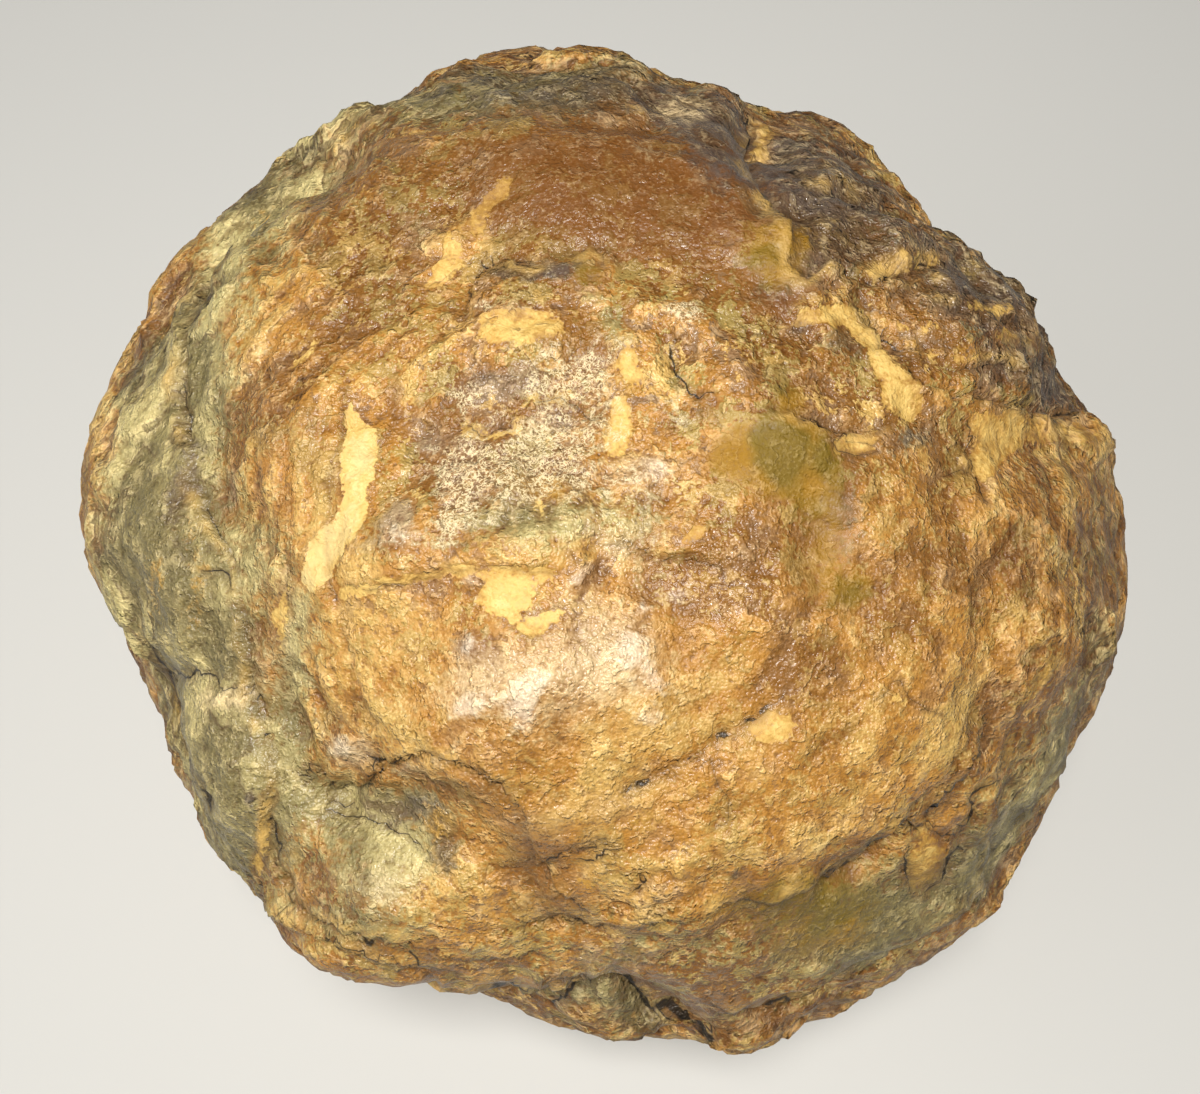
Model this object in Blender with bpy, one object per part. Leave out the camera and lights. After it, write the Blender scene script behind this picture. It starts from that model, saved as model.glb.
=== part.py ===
"""Agate nodule: one weathered, rounded stone whose iron-stained rind is flaking off in shells.

Metres, +Z up. The origin is the middle of the small flat spot that the stone lies on,
straight below the stone's centre. The show face looks up and leans towards -Y.
"""

import math

import bmesh
import bpy
import numpy as np
from mathutils import Vector, noise

MM = 0.001

# The stone's size
CENTRE_HEIGHT = 43.5 * MM
FACE_LEAN = math.radians(20.5)
CROWN = 44.5 * MM  # centre to the middle of the show face
KEEL = 46.0 * MM  # centre to the far side, before the flat spot is taken off

# The show face is laid out on a flat map through the stone's centre, square to the face's axis,
# as an eye EYE in front of the centre sees it: millimetres, +x to the right and +y up the face.
EYE = 150.0 * MM
# How far the stone reaches on that map, in millimetres, every 20 degrees anticlockwise from +x
OUTLINE = (51.5, 49, 47.5, 47, 48.5, 50.5, 50.5, 50.5, 51, 51.5, 47, 48.5, 48, 47, 50.5, 51.5, 52, 52)
# Past this lean the face turns out of sight. The map is carried on round the flank from there at an
# even pace, and its features die away on the way down.
MAP_TURN = math.radians(64)
MAP_CARRY = 30.0  # millimetres on the map for each radian past MAP_TURN
MAP_FADE = (math.radians(72), math.radians(92))

# Swellings and hollows: map x and y, half width, half height, turn in degrees, rise
SWELLINGS = (
    (-5, -16, 25, 21, 0, 2.2),  # the face stands highest below its middle
    (0, 33, 25, 14, 0, -1.6),  # and falls away towards the top
    (-4, -14, 13, 10, 15, 1.2),  # smooth dome below the middle
    (26, -9, 15, 16, -20, 1.5),  # broad shoulder right of it
    (21.5, 0, 3.5, 8, 20, -1.5),  # valley between the two
    (-8.5, 12, 13, 11, 0, -2.3),  # worn field that the fine crust sits in
    (1, 38, 15, 8, -8, 1.6),  # red plateau above the field
    (38, 22, 11, 6.5, -28, 3.2),  # wrinkled lobe at the upper right
    (43, 11, 7, 3, -10, -2.0),  # shelf under that lobe
    (23, 33, 7, 8, -35, 1.3),  # grey lobe beside the plateau
    (16.5, 41.5, 3.2, 4.4, 0, -3.0),  # notch between the grey lobe and the rim
    (12.6, 46.5, 2.4, 2.2, 0, 2.0),  # tooth beside the notch
    (-23, -26.5, 9.5, 6.5, -20, -2.8),  # hollow at the lower left
    (-21.5, -32.5, 6.6, 5.4, -15, 4.0),  # knob in that hollow
    (-28.5, -25.5, 3.0, 2.8, 0, 1.4),  # small lump at the hollow's upper end
    (-29, -33, 3.5, 7, 25, 1.4),  # roll of rind left of the knob
    (28, -36, 10, 5, 25, -1.8),  # slab laid bare at the lower right
    (33.2, -31.0, 2.4, 3.2, -15, 1.5),  # loose chip above that slab
    (-31, 10, 7, 17, 12, 1.5),  # left shoulder
    (-38.5, -3, 2.6, 9, -4, -1.2),  # trough down the left flank
    (-44.0, -6.5, 4.0, 7.0, 5, 1.4),  # bulge of the left flank
    (-46.8, -15.0, 3.0, 3.4, 0, -2.2),  # bay below that bulge
    (-39, -23, 4.5, 6, 0, 1.2),  # lower plate of the left flank
    (-29.5, -12, 2.6, 10, -4, -0.9),  # shallow strip between the flank and the dome
    (49.0, 10.8, 2.4, 2.2, 0, 0.9),  # knuckle on the right rim
    (-15.5, 48.0, 5.0, 4.0, 0, 1.8),  # shoulder of the upper rim
    (-30.0, 40.0, 5.0, 5.0, 0, -0.8),  # flat beside it
    (38.5, -37, 3.4, 3.0, 0, 1.8),  # corner of the slab
    (-15.5, -46.5, 3.6, 2.6, 0, -2.6),  # gap in the lower rim
    (15.0, -50.5, 6.0, 3.0, 0, 2.4),  # point of the lowest flake
    (-25.2, 5.5, 1.8, 9.0, -6, 0.9),  # ridge that the long ochre strip lies on
    (-7.8, 22.3, 4.6, 2.2, 5, 1.1),  # flake above the crust
    (3.6, 21.4, 2.4, 5.6, 28, 1.3),  # tongue of rind right of that flake
    (14, 19, 5, 5, 0, 1.0),  # blister right of the tongue
    (17, 9.5, 8, 5.5, 0, 0.9),  # green swelling under it
    (-19, 1, 5, 4, 0, 0.6),  # small swelling beside the strip
)

# Edges where a shell of rind ends, drawn with the higher shell on the left: rise, reach, points
LEDGES = (
    (2.3, 6, ((-24, -3.6), (-18.5, -3), (-12, -1.7), (-7.5, -2), (-4, -1.7), (-1.5, 0.5), (1.5, 1.2),
              (5, -0.4), (10.5, -1.2), (13, -3))),
    (2.0, 5, ((2, 28), (-0.6, 30), (-4.2, 29.8), (-7.2, 29), (-10.5, 29), (-12.5, 26.5), (-14, 23),
              (-17, 22.5))),
    (2.3, 5, ((-31, -22.8), (-28, -22), (-26.5, -23.7), (-23.5, -22.9), (-21, -21), (-17, -20.8),
              (-13.5, -22), (-10, -24.5), (-7, -28), (-5, -33), (-1, -36))),
    (2.6, 7, ((2, -37.5), (8, -36.5), (13, -35.2), (20.5, -33.4), (25, -31.8), (28.4, -29.5), (29.8, -27.5),
              (32, -27.4), (35.7, -24.4), (38, -21), (39.5, -15))),
    (2.6, 5, ((10, -46.5), (16, -46), (20.5, -44.8), (26.2, -42.3), (30, -40.3), (34, -38.5), (37.5, -35),
              (39, -30), (40, -25.5), (42, -22))),
    (4.0, 7, ((-34, -33), (-31.5, -37.5), (-27, -39.2), (-22, -41), (-17.8, -42), (-14, -43.8), (-8.5, -43.6),
              (-2.5, -42.2), (2, -43.2), (6, -46), (10, -48.5), (14, -51.5))),
    (2.0, 4, ((-32, -31), (-30, -36), (-26, -38), (-21, -39), (-16, -40.5), (-10, -41), (-4, -39.5))),
    (1.6, 4, ((-13, -37), (-7.5, -37.2), (-3.5, -36.8), (1.5, -37.8), (6, -37))),
    (1.1, 3, ((1, -30.5), (3.8, -31.5), (6.5, -31.8), (10, -32.4), (15, -32))),
    (1.3, 5, ((19.5, -14), (17.8, -15.2), (14.9, -17.2), (12.6, -18.8), (11.1, -20.6), (7.8, -22.1),
              (1, -25))),
    (2.8, 5, ((51, 14.6), (48, 14.2), (43, 14.1), (39.5, 14.8), (34, 16.6), (30.3, 19.2), (27.5, 22),
              (25.5, 25.5))),
    (2.0, 4, ((25.5, 24), (26, 26.5), (28.3, 27.8), (31, 28.6), (36, 30))),
    (2.2, 5, ((27.5, 25.5), (23.5, 28.5), (20, 27.5), (17.5, 33), (15, 37.5), (14.4, 40.5), (15, 46))),
    (1.5, 3.5, ((31, 14), (27.5, 11.9), (23, 12.8), (20, 13.9), (17.8, 14.3), (14.5, 13.9))),
    (1.6, 4, ((-24.5, -18), (-25.2, -11), (-26, -7), (-27.5, -2), (-28, 4), (-26.5, 11), (-24.8, 17))),
    (2.3, 5, ((-29, -38), (-33, -30), (-33.5, -20), (-35.4, -14), (-36.2, -8), (-37, -2), (-40.5, 6),
              (-42, 14), (-41.5, 22), (-38, 29))),
)

# Creases between plates of rind: depth, half width, points
CREASES = (
    (2.2, 1.6, ((-27, 41), (-36, 34), (-40.5, 28), (-43.5, 20), (-43, 13), (-41, 6), (-38.5, -1))),
    (1.3, 1.2, ((-44, -11), (-41, -13), (-39.5, -12.3), (-37.5, -13.6), (-33.5, -13))),
    (1.2, 1.2, ((-42, 0), (-39, -2), (-36.5, -5), (-35, -9))),
    (1.6, 1.3, ((-48, 0), (-45.5, -7), (-43.5, -13.5), (-41.5, -20), (-38.5, -28), (-33.5, -37))),
    (2.0, 1.4, ((-31, -24), (-28, -25.5), (-25, -26.2), (-21.9, -27), (-19, -28.4), (-16.5, -31),
                (-15.5, -34))),
    (1.5, 1.2, ((23.5, 28.5), (25, 25), (26.5, 21.5), (28, 18.5))),
    (1.4, 1.0, ((5.5, 23), (7.2, 20), (9.1, 16.9), (10.9, 15.8), (13, 17))),
    (1.6, 1.3, ((38, 4), (38.5, -1.4), (39.1, -6), (38.8, -9), (37.7, -12), (36.4, -16), (35.5, -21))),
    (1.2, 1.0, ((31, -27), (34, -28), (36.2, -29.3), (35.9, -31.5), (33, -34.5))),
    (1.2, 1.2, ((19, 8.5), (21, 4), (22.4, 1), (24, -4))),
    (2.2, 1.4, ((-1.5, -41.8), (2, -43.4), (5, -45.4), (8, -46.6), (12, -49.5))),
    (1.2, 1.0, ((15, -45.6), (20, -45.4), (26, -42.4), (31, -39.6))),
    (1.1, 1.2, ((-13.5, 17), (-17, 13), (-19, 8), (-18, 2))),
)
EDGE_HALF_WIDTH = 1.4  # of a ledge's slope, on the map, in millimetres
LINE_FADE = 4.0  # a ledge or crease dies away over this length at each end
LINE_SPACING = 0.7  # between the points that a drawn line is followed by
WANDER = 1.2  # how far the map's lines stray from true, in millimetres
WANDER_SCALE = 1 / 7.0

# The flanks and the far side. The rind has flaked off there in rough rings round the face's axis,
# and between them in plates of uneven thickness.
FLANK_START = (math.radians(54), math.radians(80))
RING_SPACING = math.radians(10.5)
RING_RISE = 3.2 * MM
RING_LEAST = 0.4  # of that rise, left where a ring is faintest
RING_EDGE = 0.8  # of a ring's width, past which it drops to the next
RING_WANDERS = ((1.6, 2.3), (0.5, 6.0))  # how many rings' widths they stray, and how often
PLATE_SIZE = 13.0 * MM
PLATE_RISE = 3.0 * MM
PLATE_EDGE = 0.16  # of a plate's size, taken up by the slope at its border
PLATE_BEND = 0.35  # of a plate's size, that its border strays
# Roughness laid over everything: wavelength and height
ROUGHNESS = ((25 * MM, 1.9 * MM), (11 * MM, 1.2 * MM), (5.5 * MM, 0.55 * MM))

SIDE_CUTS = 27  # cuts across each side of the cube that is rounded into the stone
CROWDING = 0.2  # how far the grid's points are drawn together on the show face
EASING = 0.4  # how far each point is drawn towards its neighbours, to round off single peaks

FACE_AXIS = np.array((0, -math.sin(FACE_LEAN), math.cos(FACE_LEAN)))
FACE_RIGHT = np.array((1.0, 0, 0))
FACE_UP = np.cross(FACE_AXIS, FACE_RIGHT)


def smooth(low, high, value):
    """0 below low, 1 above high, with an eased slope between them."""
    share = np.clip((value - low) / (high - low), 0, 1)
    return share * share * (3 - 2 * share)


def noise_at(points, scale, shift=(0, 0, 0)):
    return np.array([noise.noise(Vector(point) * scale + Vector(shift)) for point in points])


def through(values, place):
    """A smooth (Catmull-Rom) curve through a closed ring of values, read at place."""
    values = np.asarray(values, dtype=float)
    first = np.floor(place).astype(int)
    share = place - first
    before, here, after, beyond = (values[(first + step) % len(values)] for step in (-1, 0, 1, 2))
    bend = 2 * before - 5 * here + 4 * after - beyond
    swing = 3 * (here - after) + beyond - before
    return here + 0.5 * share * (after - before + share * (bend + share * swing))


def body_radius(toward):
    """Centre to surface of the plain ellipsoid-like body that the outline and the two depths set."""
    depth, right, up = toward @ FACE_AXIS, toward @ FACE_RIGHT, toward @ FACE_UP
    # Seen from EYE the rim stands nearer than the centre, so it looks larger than it is.
    nearness = math.sqrt(1 - (CROWN / EYE) ** 2)
    turn = np.arctan2(up, right) % math.tau
    girth = through(OUTLINE, turn / math.tau * len(OUTLINE)) * MM * nearness
    length = np.where(depth > 0, CROWN, KEEL)
    return 1 / np.sqrt((depth / length) ** 2 + (right * right + up * up) / girth**2)


def to_map(toward, radius):
    """Where each point of the body lies on the map."""
    lean = np.arccos(np.clip(toward @ FACE_AXIS, -1, 1))
    seen = np.minimum(lean, MAP_TURN)
    reach = radius * np.sin(seen) * EYE / (EYE - radius * np.cos(seen)) / MM
    reach += MAP_CARRY * (lean - seen)
    across = np.stack((toward @ FACE_RIGHT, toward @ FACE_UP), axis=1)
    length = np.maximum(np.linalg.norm(across, axis=1), 1e-9)
    place = across / length[:, None] * reach[:, None]
    flat = np.column_stack((place, np.zeros(len(place))))
    stray = (noise_at(flat, WANDER_SCALE), noise_at(flat, WANDER_SCALE, (31, 17, 7)))
    return place + WANDER * np.stack(stray, axis=1)


def followed(points):
    """The drawn line's points, spread evenly along a smooth curve, with its run and length at each."""
    points = np.array(points, dtype=float)
    padded = np.vstack((2 * points[0] - points[1], points, 2 * points[-1] - points[-2]))
    gaps = np.linalg.norm(np.diff(points, axis=0), axis=1)
    pieces = []
    for index, gap in enumerate(gaps):
        share = np.linspace(0, 1, max(int(gap / LINE_SPACING), 2), endpoint=False)[:, None]
        before, here, after, beyond = padded[index:index + 4]
        bend = 2 * before - 5 * here + 4 * after - beyond
        swing = 3 * (here - after) + beyond - before
        pieces.append(here + 0.5 * share * (after - before + share * (bend + share * swing)))
    line = np.vstack(pieces + [points[-1:]])
    run = np.gradient(line, axis=0)
    run /= np.linalg.norm(run, axis=1)[:, None]
    along = np.concatenate(([0], np.cumsum(np.linalg.norm(np.diff(line, axis=0), axis=1))))
    return line, run, along


def from_line(place, points):
    """Each place's distance from the drawn line, positive on its left, and the fade at its ends."""
    line, run, along = followed(points)
    offset = place[:, None, :] - line[None, :, :]
    nearest = np.argmin((offset**2).sum(axis=2), axis=1)
    off = offset[np.arange(len(place)), nearest]
    side = np.sign(run[nearest][:, 0] * off[:, 1] - run[nearest][:, 1] * off[:, 0])
    gap = side * np.linalg.norm(off, axis=1)
    here = along[nearest]
    return gap, smooth(0, LINE_FADE, here) * smooth(0, LINE_FADE, along[-1] - here)


def swellings(place):
    rise = np.zeros(len(place))
    for middle_x, middle_y, half_width, half_height, turn, height in SWELLINGS:
        cosine, sine = math.cos(math.radians(turn)), math.sin(math.radians(turn))
        x, y = place[:, 0] - middle_x, place[:, 1] - middle_y
        across = (x * cosine + y * sine) / half_width
        along = (y * cosine - x * sine) / half_height
        rise += height * np.exp(-across * across - along * along)
    return rise


def ledges(place):
    rise = np.zeros(len(place))
    for height, reach, points in LEDGES:
        gap, fade = from_line(place, points)
        step = smooth(-EDGE_HALF_WIDTH, EDGE_HALF_WIDTH, gap) - 0.5
        rise += height * step * np.exp(-np.abs(gap) / reach) * fade
    return rise


def creases(place):
    depth = np.zeros(len(place))
    for height, half_width, points in CREASES:
        gap, fade = from_line(place, points)
        depth += height * np.exp(-((gap / half_width) ** 2)) * fade
    return depth


def rings(toward, lean):
    """Shingled shells round the flanks: each one swells outwards, then ends in an edge that faces away."""
    level = lean / RING_SPACING
    for widths, often in RING_WANDERS:
        level = level + widths * noise_at(toward, often, (0, 0, often))
    tooth = level - np.floor(level)
    strength = RING_LEAST + (1 - RING_LEAST) * smooth(-0.2, 0.4, noise_at(toward, 1.9, (0, 9, 0)))
    return RING_RISE * strength * (tooth - smooth(RING_EDGE, 1.0, tooth) - RING_EDGE / 2)


def plates(bare):
    """Plates of rind: one level for each, with a short slope between neighbours."""
    rise = []
    for point in bare:
        here = Vector(point / PLATE_SIZE)
        here += PLATE_BEND * noise.noise_vector(here * 1.3)
        gaps, cells = noise.voronoi(here)
        level, neighbour = (noise.noise(cell * 7.1 + Vector((0.3, 0.6, 0.9))) for cell in cells[:2])
        border = max(1 - (gaps[1] - gaps[0]) / PLATE_EDGE, 0)
        rise.append(level + (neighbour - level) * 0.5 * border * border * (3 - 2 * border))
    return PLATE_RISE * np.array(rise)


def roughness(bare):
    rise = np.zeros(len(bare))
    for wavelength, height in ROUGHNESS:
        rise += height * noise_at(bare, 1 / wavelength, (height / MM, 3.7, 1.1))
    return rise


def stone_radius(toward):
    """Centre to surface in each direction, with every feature, before the flat spot is taken off."""
    radius = body_radius(toward)
    bare = toward * radius[:, None]
    lean = np.arccos(np.clip(toward @ FACE_AXIS, -1, 1))
    place = to_map(toward, radius)
    drawn = (swellings(place) + ledges(place) - creases(place)) * MM * (1 - smooth(*MAP_FADE, lean))
    flank = (rings(toward, lean) + plates(bare)) * smooth(*FLANK_START, lean)
    return radius + drawn + flank + roughness(bare)


def crowded(cube_points):
    """The cube's grid rounded to a ball, one side of it square to the face's axis and drawn together."""
    # The tangent spreads the grid evenly once the cube is rounded.
    ball = np.tan(cube_points * math.pi / 4)
    ball /= np.linalg.norm(ball, axis=1)[:, None]
    lean = np.arccos(np.clip(ball[:, 2], -1, 1))
    drawn = lean - CROWDING * np.sin(lean)
    girth = np.maximum(np.linalg.norm(ball[:, :2], axis=1), 1e-9)
    across = ball[:, :2] / girth[:, None] * np.sin(drawn)[:, None]
    return across[:, :1] * FACE_RIGHT + across[:, 1:] * FACE_UP + np.cos(drawn)[:, None] * FACE_AXIS


def nodule_mesh():
    """A cube cut into a fine grid, rounded to a ball, and every point moved out to the stone's surface."""
    shape = bmesh.new()
    bmesh.ops.create_cube(shape, size=2.0)
    bmesh.ops.subdivide_edges(shape, edges=shape.edges, cuts=SIDE_CUTS, use_grid_fill=True)
    toward = crowded(np.array([vertex.co[:] for vertex in shape.verts]))
    radius = stone_radius(toward)
    below = toward[:, 2] < 0
    radius[below] = np.minimum(radius[below], CENTRE_HEIGHT / -toward[below, 2])
    for vertex, point in zip(shape.verts, toward * radius[:, None]):
        vertex.co = Vector(point) + Vector((0, 0, CENTRE_HEIGHT))
    bmesh.ops.smooth_vert(shape, verts=shape.verts, factor=EASING, use_axis_x=True, use_axis_y=True,
                          use_axis_z=True)
    mesh = bpy.data.meshes.new("nodule")
    shape.to_mesh(mesh)
    shape.free()
    mesh.shade_smooth()
    return mesh


def rind_material():
    material = bpy.data.materials.new("iron_stained_rind")
    material.use_nodes = True
    shader = material.node_tree.nodes["Principled BSDF"]
    shader.inputs["Base Color"].default_value = (0.42, 0.24, 0.09, 1)
    shader.inputs["Roughness"].default_value = 0.6
    shader.inputs["Metallic"].default_value = 0.0
    return material


for old in list(bpy.data.objects):
    bpy.data.objects.remove(old)
stone = bpy.data.collections.new("agate_nodule")
bpy.context.scene.collection.children.link(stone)
nodule = bpy.data.objects.new("nodule", nodule_mesh())
nodule.data.materials.append(rind_material())
stone.objects.link(nodule)
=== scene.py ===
"""The finish of an agate nodule: its weathered, iron-stained rind, on a pale floor under soft light."""

import math

import bpy
import numpy as np
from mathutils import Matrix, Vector, noise


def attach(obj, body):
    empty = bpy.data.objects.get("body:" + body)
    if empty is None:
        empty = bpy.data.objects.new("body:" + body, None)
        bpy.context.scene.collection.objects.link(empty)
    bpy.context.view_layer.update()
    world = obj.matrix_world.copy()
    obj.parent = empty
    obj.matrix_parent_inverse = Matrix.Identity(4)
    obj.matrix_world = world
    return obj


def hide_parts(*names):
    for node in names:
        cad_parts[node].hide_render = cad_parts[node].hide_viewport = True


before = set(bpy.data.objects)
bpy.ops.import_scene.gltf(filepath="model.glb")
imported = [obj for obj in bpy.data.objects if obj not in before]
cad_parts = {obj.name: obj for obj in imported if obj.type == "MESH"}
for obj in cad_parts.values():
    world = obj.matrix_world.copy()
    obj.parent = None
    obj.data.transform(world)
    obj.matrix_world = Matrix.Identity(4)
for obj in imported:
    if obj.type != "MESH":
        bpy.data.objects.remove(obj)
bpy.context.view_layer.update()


# The nodule. One natural stone, silica with an iron-stained rind, rounded by weathering and
# flaking off in shells. Its form is the solid's own, cut fine enough to carry the rind's relief.
MM = 0.001
CENTRE_HEIGHT = 43.5 * MM  # of the stone's centre above the floor
FACE_LEAN = math.radians(20.5)  # of the show face, from straight up towards -Y
MERGE = 0.01 * MM
FINE_CUTS = 2  # each halves the solid's edges of about 2 mm

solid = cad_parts["nodule"]
nodule = solid.copy()
nodule.data = solid.data.copy()
nodule.name = nodule.data.name = "nodule_rind"
nodule.parent = None
for key in list(nodule.keys()):
    del nodule[key]
bpy.context.scene.collection.objects.link(nodule)
bpy.ops.object.select_all(action="DESELECT")
nodule.select_set(True)
bpy.context.view_layer.objects.active = nodule
bpy.ops.mesh.customdata_custom_splitnormals_clear()
bpy.ops.object.mode_set(mode="EDIT")
bpy.ops.mesh.select_all(action="SELECT")
bpy.ops.mesh.remove_doubles(threshold=MERGE)
bpy.ops.mesh.tris_convert_to_quads(face_threshold=math.pi, shape_threshold=math.pi)
bpy.ops.object.mode_set(mode="OBJECT")
fine = nodule.modifiers.new("fine", "SUBSURF")
fine.levels = fine.render_levels = FINE_CUTS
bpy.ops.object.modifier_apply(modifier=fine.name)
bpy.ops.object.shade_smooth()

centre = np.array((0, 0, CENTRE_HEIGHT))
face_axis = np.array((0, -math.sin(FACE_LEAN), math.cos(FACE_LEAN)))
face_right = np.array((1.0, 0, 0))
face_up = np.cross(face_axis, face_right)

count = len(nodule.data.vertices)
start = np.empty(count * 3)
nodule.data.vertices.foreach_get("co", start)
start = start.reshape(-1, 3)
outward = np.empty(count * 3)
nodule.data.vertex_normals.foreach_get("vector", outward)
outward = outward.reshape(-1, 3)


# The map of the show face. The rind's features are laid out on a flat map through the stone's
# centre, square to the face's axis, as an eye in front of it sees them: millimetres, +x right, +y up.
EYE = 150 * MM
MAP_TURN = math.radians(64)  # past this lean the map is carried on round the flank at an even pace
MAP_CARRY = 30.0  # millimetres on the map for each radian past MAP_TURN
MAP_FADE = (math.radians(72), math.radians(92))
WANDER = 1.2  # how far the map's lines stray from true
WANDER_SCALE = 1 / 7.0
FRAY = 0.55  # how far their small teeth stray
FRAY_SCALE = 1 / 1.6


def smooth(low, high, value):
    """0 below low, 1 above high, with an eased slope between them."""
    share = np.clip((value - low) / (high - low), 0, 1)
    return share * share * (3 - 2 * share)


def noise_at(points, scale, shift=(0, 0, 0)):
    shift = Vector(shift)
    return np.array([noise.noise(Vector(point) * scale + shift) for point in points])


from_centre = start - centre
radius = np.linalg.norm(from_centre, axis=1)
toward = from_centre / radius[:, None]
lean = np.arccos(np.clip(toward @ face_axis, -1, 1))
seen = np.minimum(lean, MAP_TURN)
reach = radius * np.sin(seen) * EYE / (EYE - radius * np.cos(seen)) / MM + MAP_CARRY * (lean - seen)
across = np.stack((toward @ face_right, toward @ face_up), axis=1)
true_place = across / np.maximum(np.linalg.norm(across, axis=1), 1e-9)[:, None] * reach[:, None]
flat = np.column_stack((true_place, np.zeros(count)))
stray = np.stack((noise_at(flat, WANDER_SCALE), noise_at(flat, WANDER_SCALE, (31, 17, 7))), axis=1)
fray = np.stack((noise_at(flat, FRAY_SCALE), noise_at(flat, FRAY_SCALE, (3, 71, 5))), axis=1)
place = true_place + WANDER * stray + FRAY * fray
shown = 1 - smooth(*MAP_FADE, lean)  # where the map holds


# The edges of the rind's shells. Each shell ends in a thin, ragged lip with a painted shadow in the gap under
# it.
# The higher shell is on the left of the line: rise, the painted gap shadow's share from 0 to 1, points on the
# map.
LIPS = (
    (2.3, 0.5, ((-24, -3.6), (-18.5, -3), (-12, -1.7), (-7.5, -2), (-4, -1.7), (-1.5, 0.5), (1.5, 1.2),
              (5, -0.4), (10.5, -1.2), (13, -3))),
    (2.0, 1.0, ((2, 28), (-0.6, 30), (-4.2, 29.8), (-7.2, 29), (-10.5, 29), (-12.5, 26.5), (-14, 23),
              (-17, 22.5))),
    (2.3, 1.0, ((-31, -22.8), (-28, -22), (-26.5, -23.7), (-23.5, -22.9), (-21, -21), (-17, -20.8),
              (-13.5, -22), (-10, -24.5), (-7, -28), (-5, -33), (-1, -36))),
    (2.6, 1.0, ((2, -37.5), (8, -36.5), (13, -35.2), (20.5, -33.4), (25, -31.8), (28.4, -29.5), (29.8, -27.5),
              (32, -27.4), (35.7, -24.4), (38, -21), (39.5, -15))),
    (2.6, 0.8, ((10, -46.5), (16, -46), (20.5, -44.8), (26.2, -42.3), (30, -40.3), (34, -38.5), (37.5, -35),
              (39, -30), (40, -25.5), (42, -22))),
    (4.0, 1.0, ((-34, -33), (-31.5, -37.5), (-27, -39.2), (-22, -41), (-17.8, -42), (-14, -43.8),
              (-8.5, -43.6), (-2.5, -42.2), (2, -43.2), (6, -46), (10, -48.5), (14, -51.5))),
    (2.0, 0.7, ((-32, -31), (-30, -36), (-26, -38), (-21, -39), (-16, -40.5), (-10, -41), (-4, -39.5))),
    (1.6, 0.9, ((-13, -37), (-7.5, -37.2), (-3.5, -36.8), (1.5, -37.8), (6, -37))),
    (1.1, 0.0, ((1, -30.5), (3.8, -31.5), (6.5, -31.8), (10, -32.4), (15, -32))),
    (1.3, 0.9, ((19.5, -14), (17.8, -15.2), (14.9, -17.2), (12.6, -18.8), (11.1, -20.6), (7.8, -22.1),
              (1, -25))),
    (2.8, 0.8, ((51, 14.6), (48, 14.2), (43, 14.1), (39.5, 14.8), (34, 16.6), (30.3, 19.2), (27.5, 22),
              (25.5, 25.5))),
    (2.0, 0.7, ((25.5, 24), (26, 26.5), (28.3, 27.8), (31, 28.6), (36, 30))),
    (2.2, 0.7, ((27.5, 25.5), (23.5, 28.5), (20, 27.5), (17.5, 33), (15, 37.5), (14.4, 40.5), (15, 46))),
    (1.3, 0.9, ((24.7, 25.7), (26.4, 23.2), (29.3, 21.8), (31.1, 20.7), (33.9, 21.1), (36, 20.6))),
    (1.2, 0.8, ((31.1, 25), (33.9, 24.3), (36.8, 23.9), (39.6, 23.2), (42.4, 22.5))),
    (1.2, 0.8, ((29.3, 20), (32.5, 19.7), (35.3, 18.8), (38.9, 18.9), (42.4, 18.2), (44.5, 17.6))),
    (1.1, 0.7, ((26.8, 26), (30, 26.2), (33.2, 26.6), (36, 25.8), (39.6, 25.2))),
    (1.0, 0.6, ((20, 33), (22.5, 31.5), (24.5, 32), (27, 30.5), (29.5, 30.8))),
    (1.0, 0.6, ((19, 38), (21.5, 36), (24, 36.2), (27, 34))),
    (1.5, 0.6, ((31, 14), (27.5, 11.9), (23, 12.8), (20, 13.9), (17.8, 14.3), (14.5, 13.9))),
    (1.6, 0.3, ((-24.5, -18), (-25.2, -11), (-26, -7), (-27.5, -2), (-28, 4), (-26.5, 11), (-24.8, 17))),
    (2.3, 0.3, ((-29, -38), (-33, -30), (-33.5, -20), (-35.4, -14), (-36.2, -8), (-37, -2), (-40.5, 6),
              (-42, 14), (-41.5, 22), (-38, 29))),
)
SOLID_SLOPE = 1.4  # half the width of the solid's slope at a lip, in millimetres on the map
LIP_SLOPE = 0.35  # half the width of the real one
LIP_SHARE = 0.55  # of the solid's rise that the sharp lip is given back
LIP_REACH = 4.0  # how far from its line a lip is worked out
LIP_UNEVEN = 0.16  # how fast its rise changes along it
FOOT_WIDTH, FOOT_DEPTH = 0.4, 0.3  # of the groove at its foot
GAP_WIDTH = 0.12
WORN_OFF, WORN_WIDTH = 0.55, 0.45  # where its worn upper edge lies, and how wide that is
LINE_SPACING = 0.7
LINE_FADE = 4.0
NO_LINE = 3.0  # stands for a place with no dark line near


def followed(points):
    """A drawn line's points, spread evenly along a smooth curve, with its run and length at each."""
    points = np.array(points, dtype=float)
    padded = np.vstack((2 * points[0] - points[1], points, 2 * points[-1] - points[-2]))
    gaps = np.linalg.norm(np.diff(points, axis=0), axis=1)
    pieces = []
    for index, gap in enumerate(gaps):
        share = np.linspace(0, 1, max(int(gap / LINE_SPACING), 2), endpoint=False)[:, None]
        before, here, after, beyond = padded[index:index + 4]
        bend = 2 * before - 5 * here + 4 * after - beyond
        swing = 3 * (here - after) + beyond - before
        pieces.append(here + 0.5 * share * (after - before + share * (bend + share * swing)))
    line = np.vstack(pieces + [points[-1:]])
    run = np.gradient(line, axis=0)
    run /= np.linalg.norm(run, axis=1)[:, None]
    along = np.concatenate(([0], np.cumsum(np.linalg.norm(np.diff(line, axis=0), axis=1))))
    return line, run, along


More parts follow.
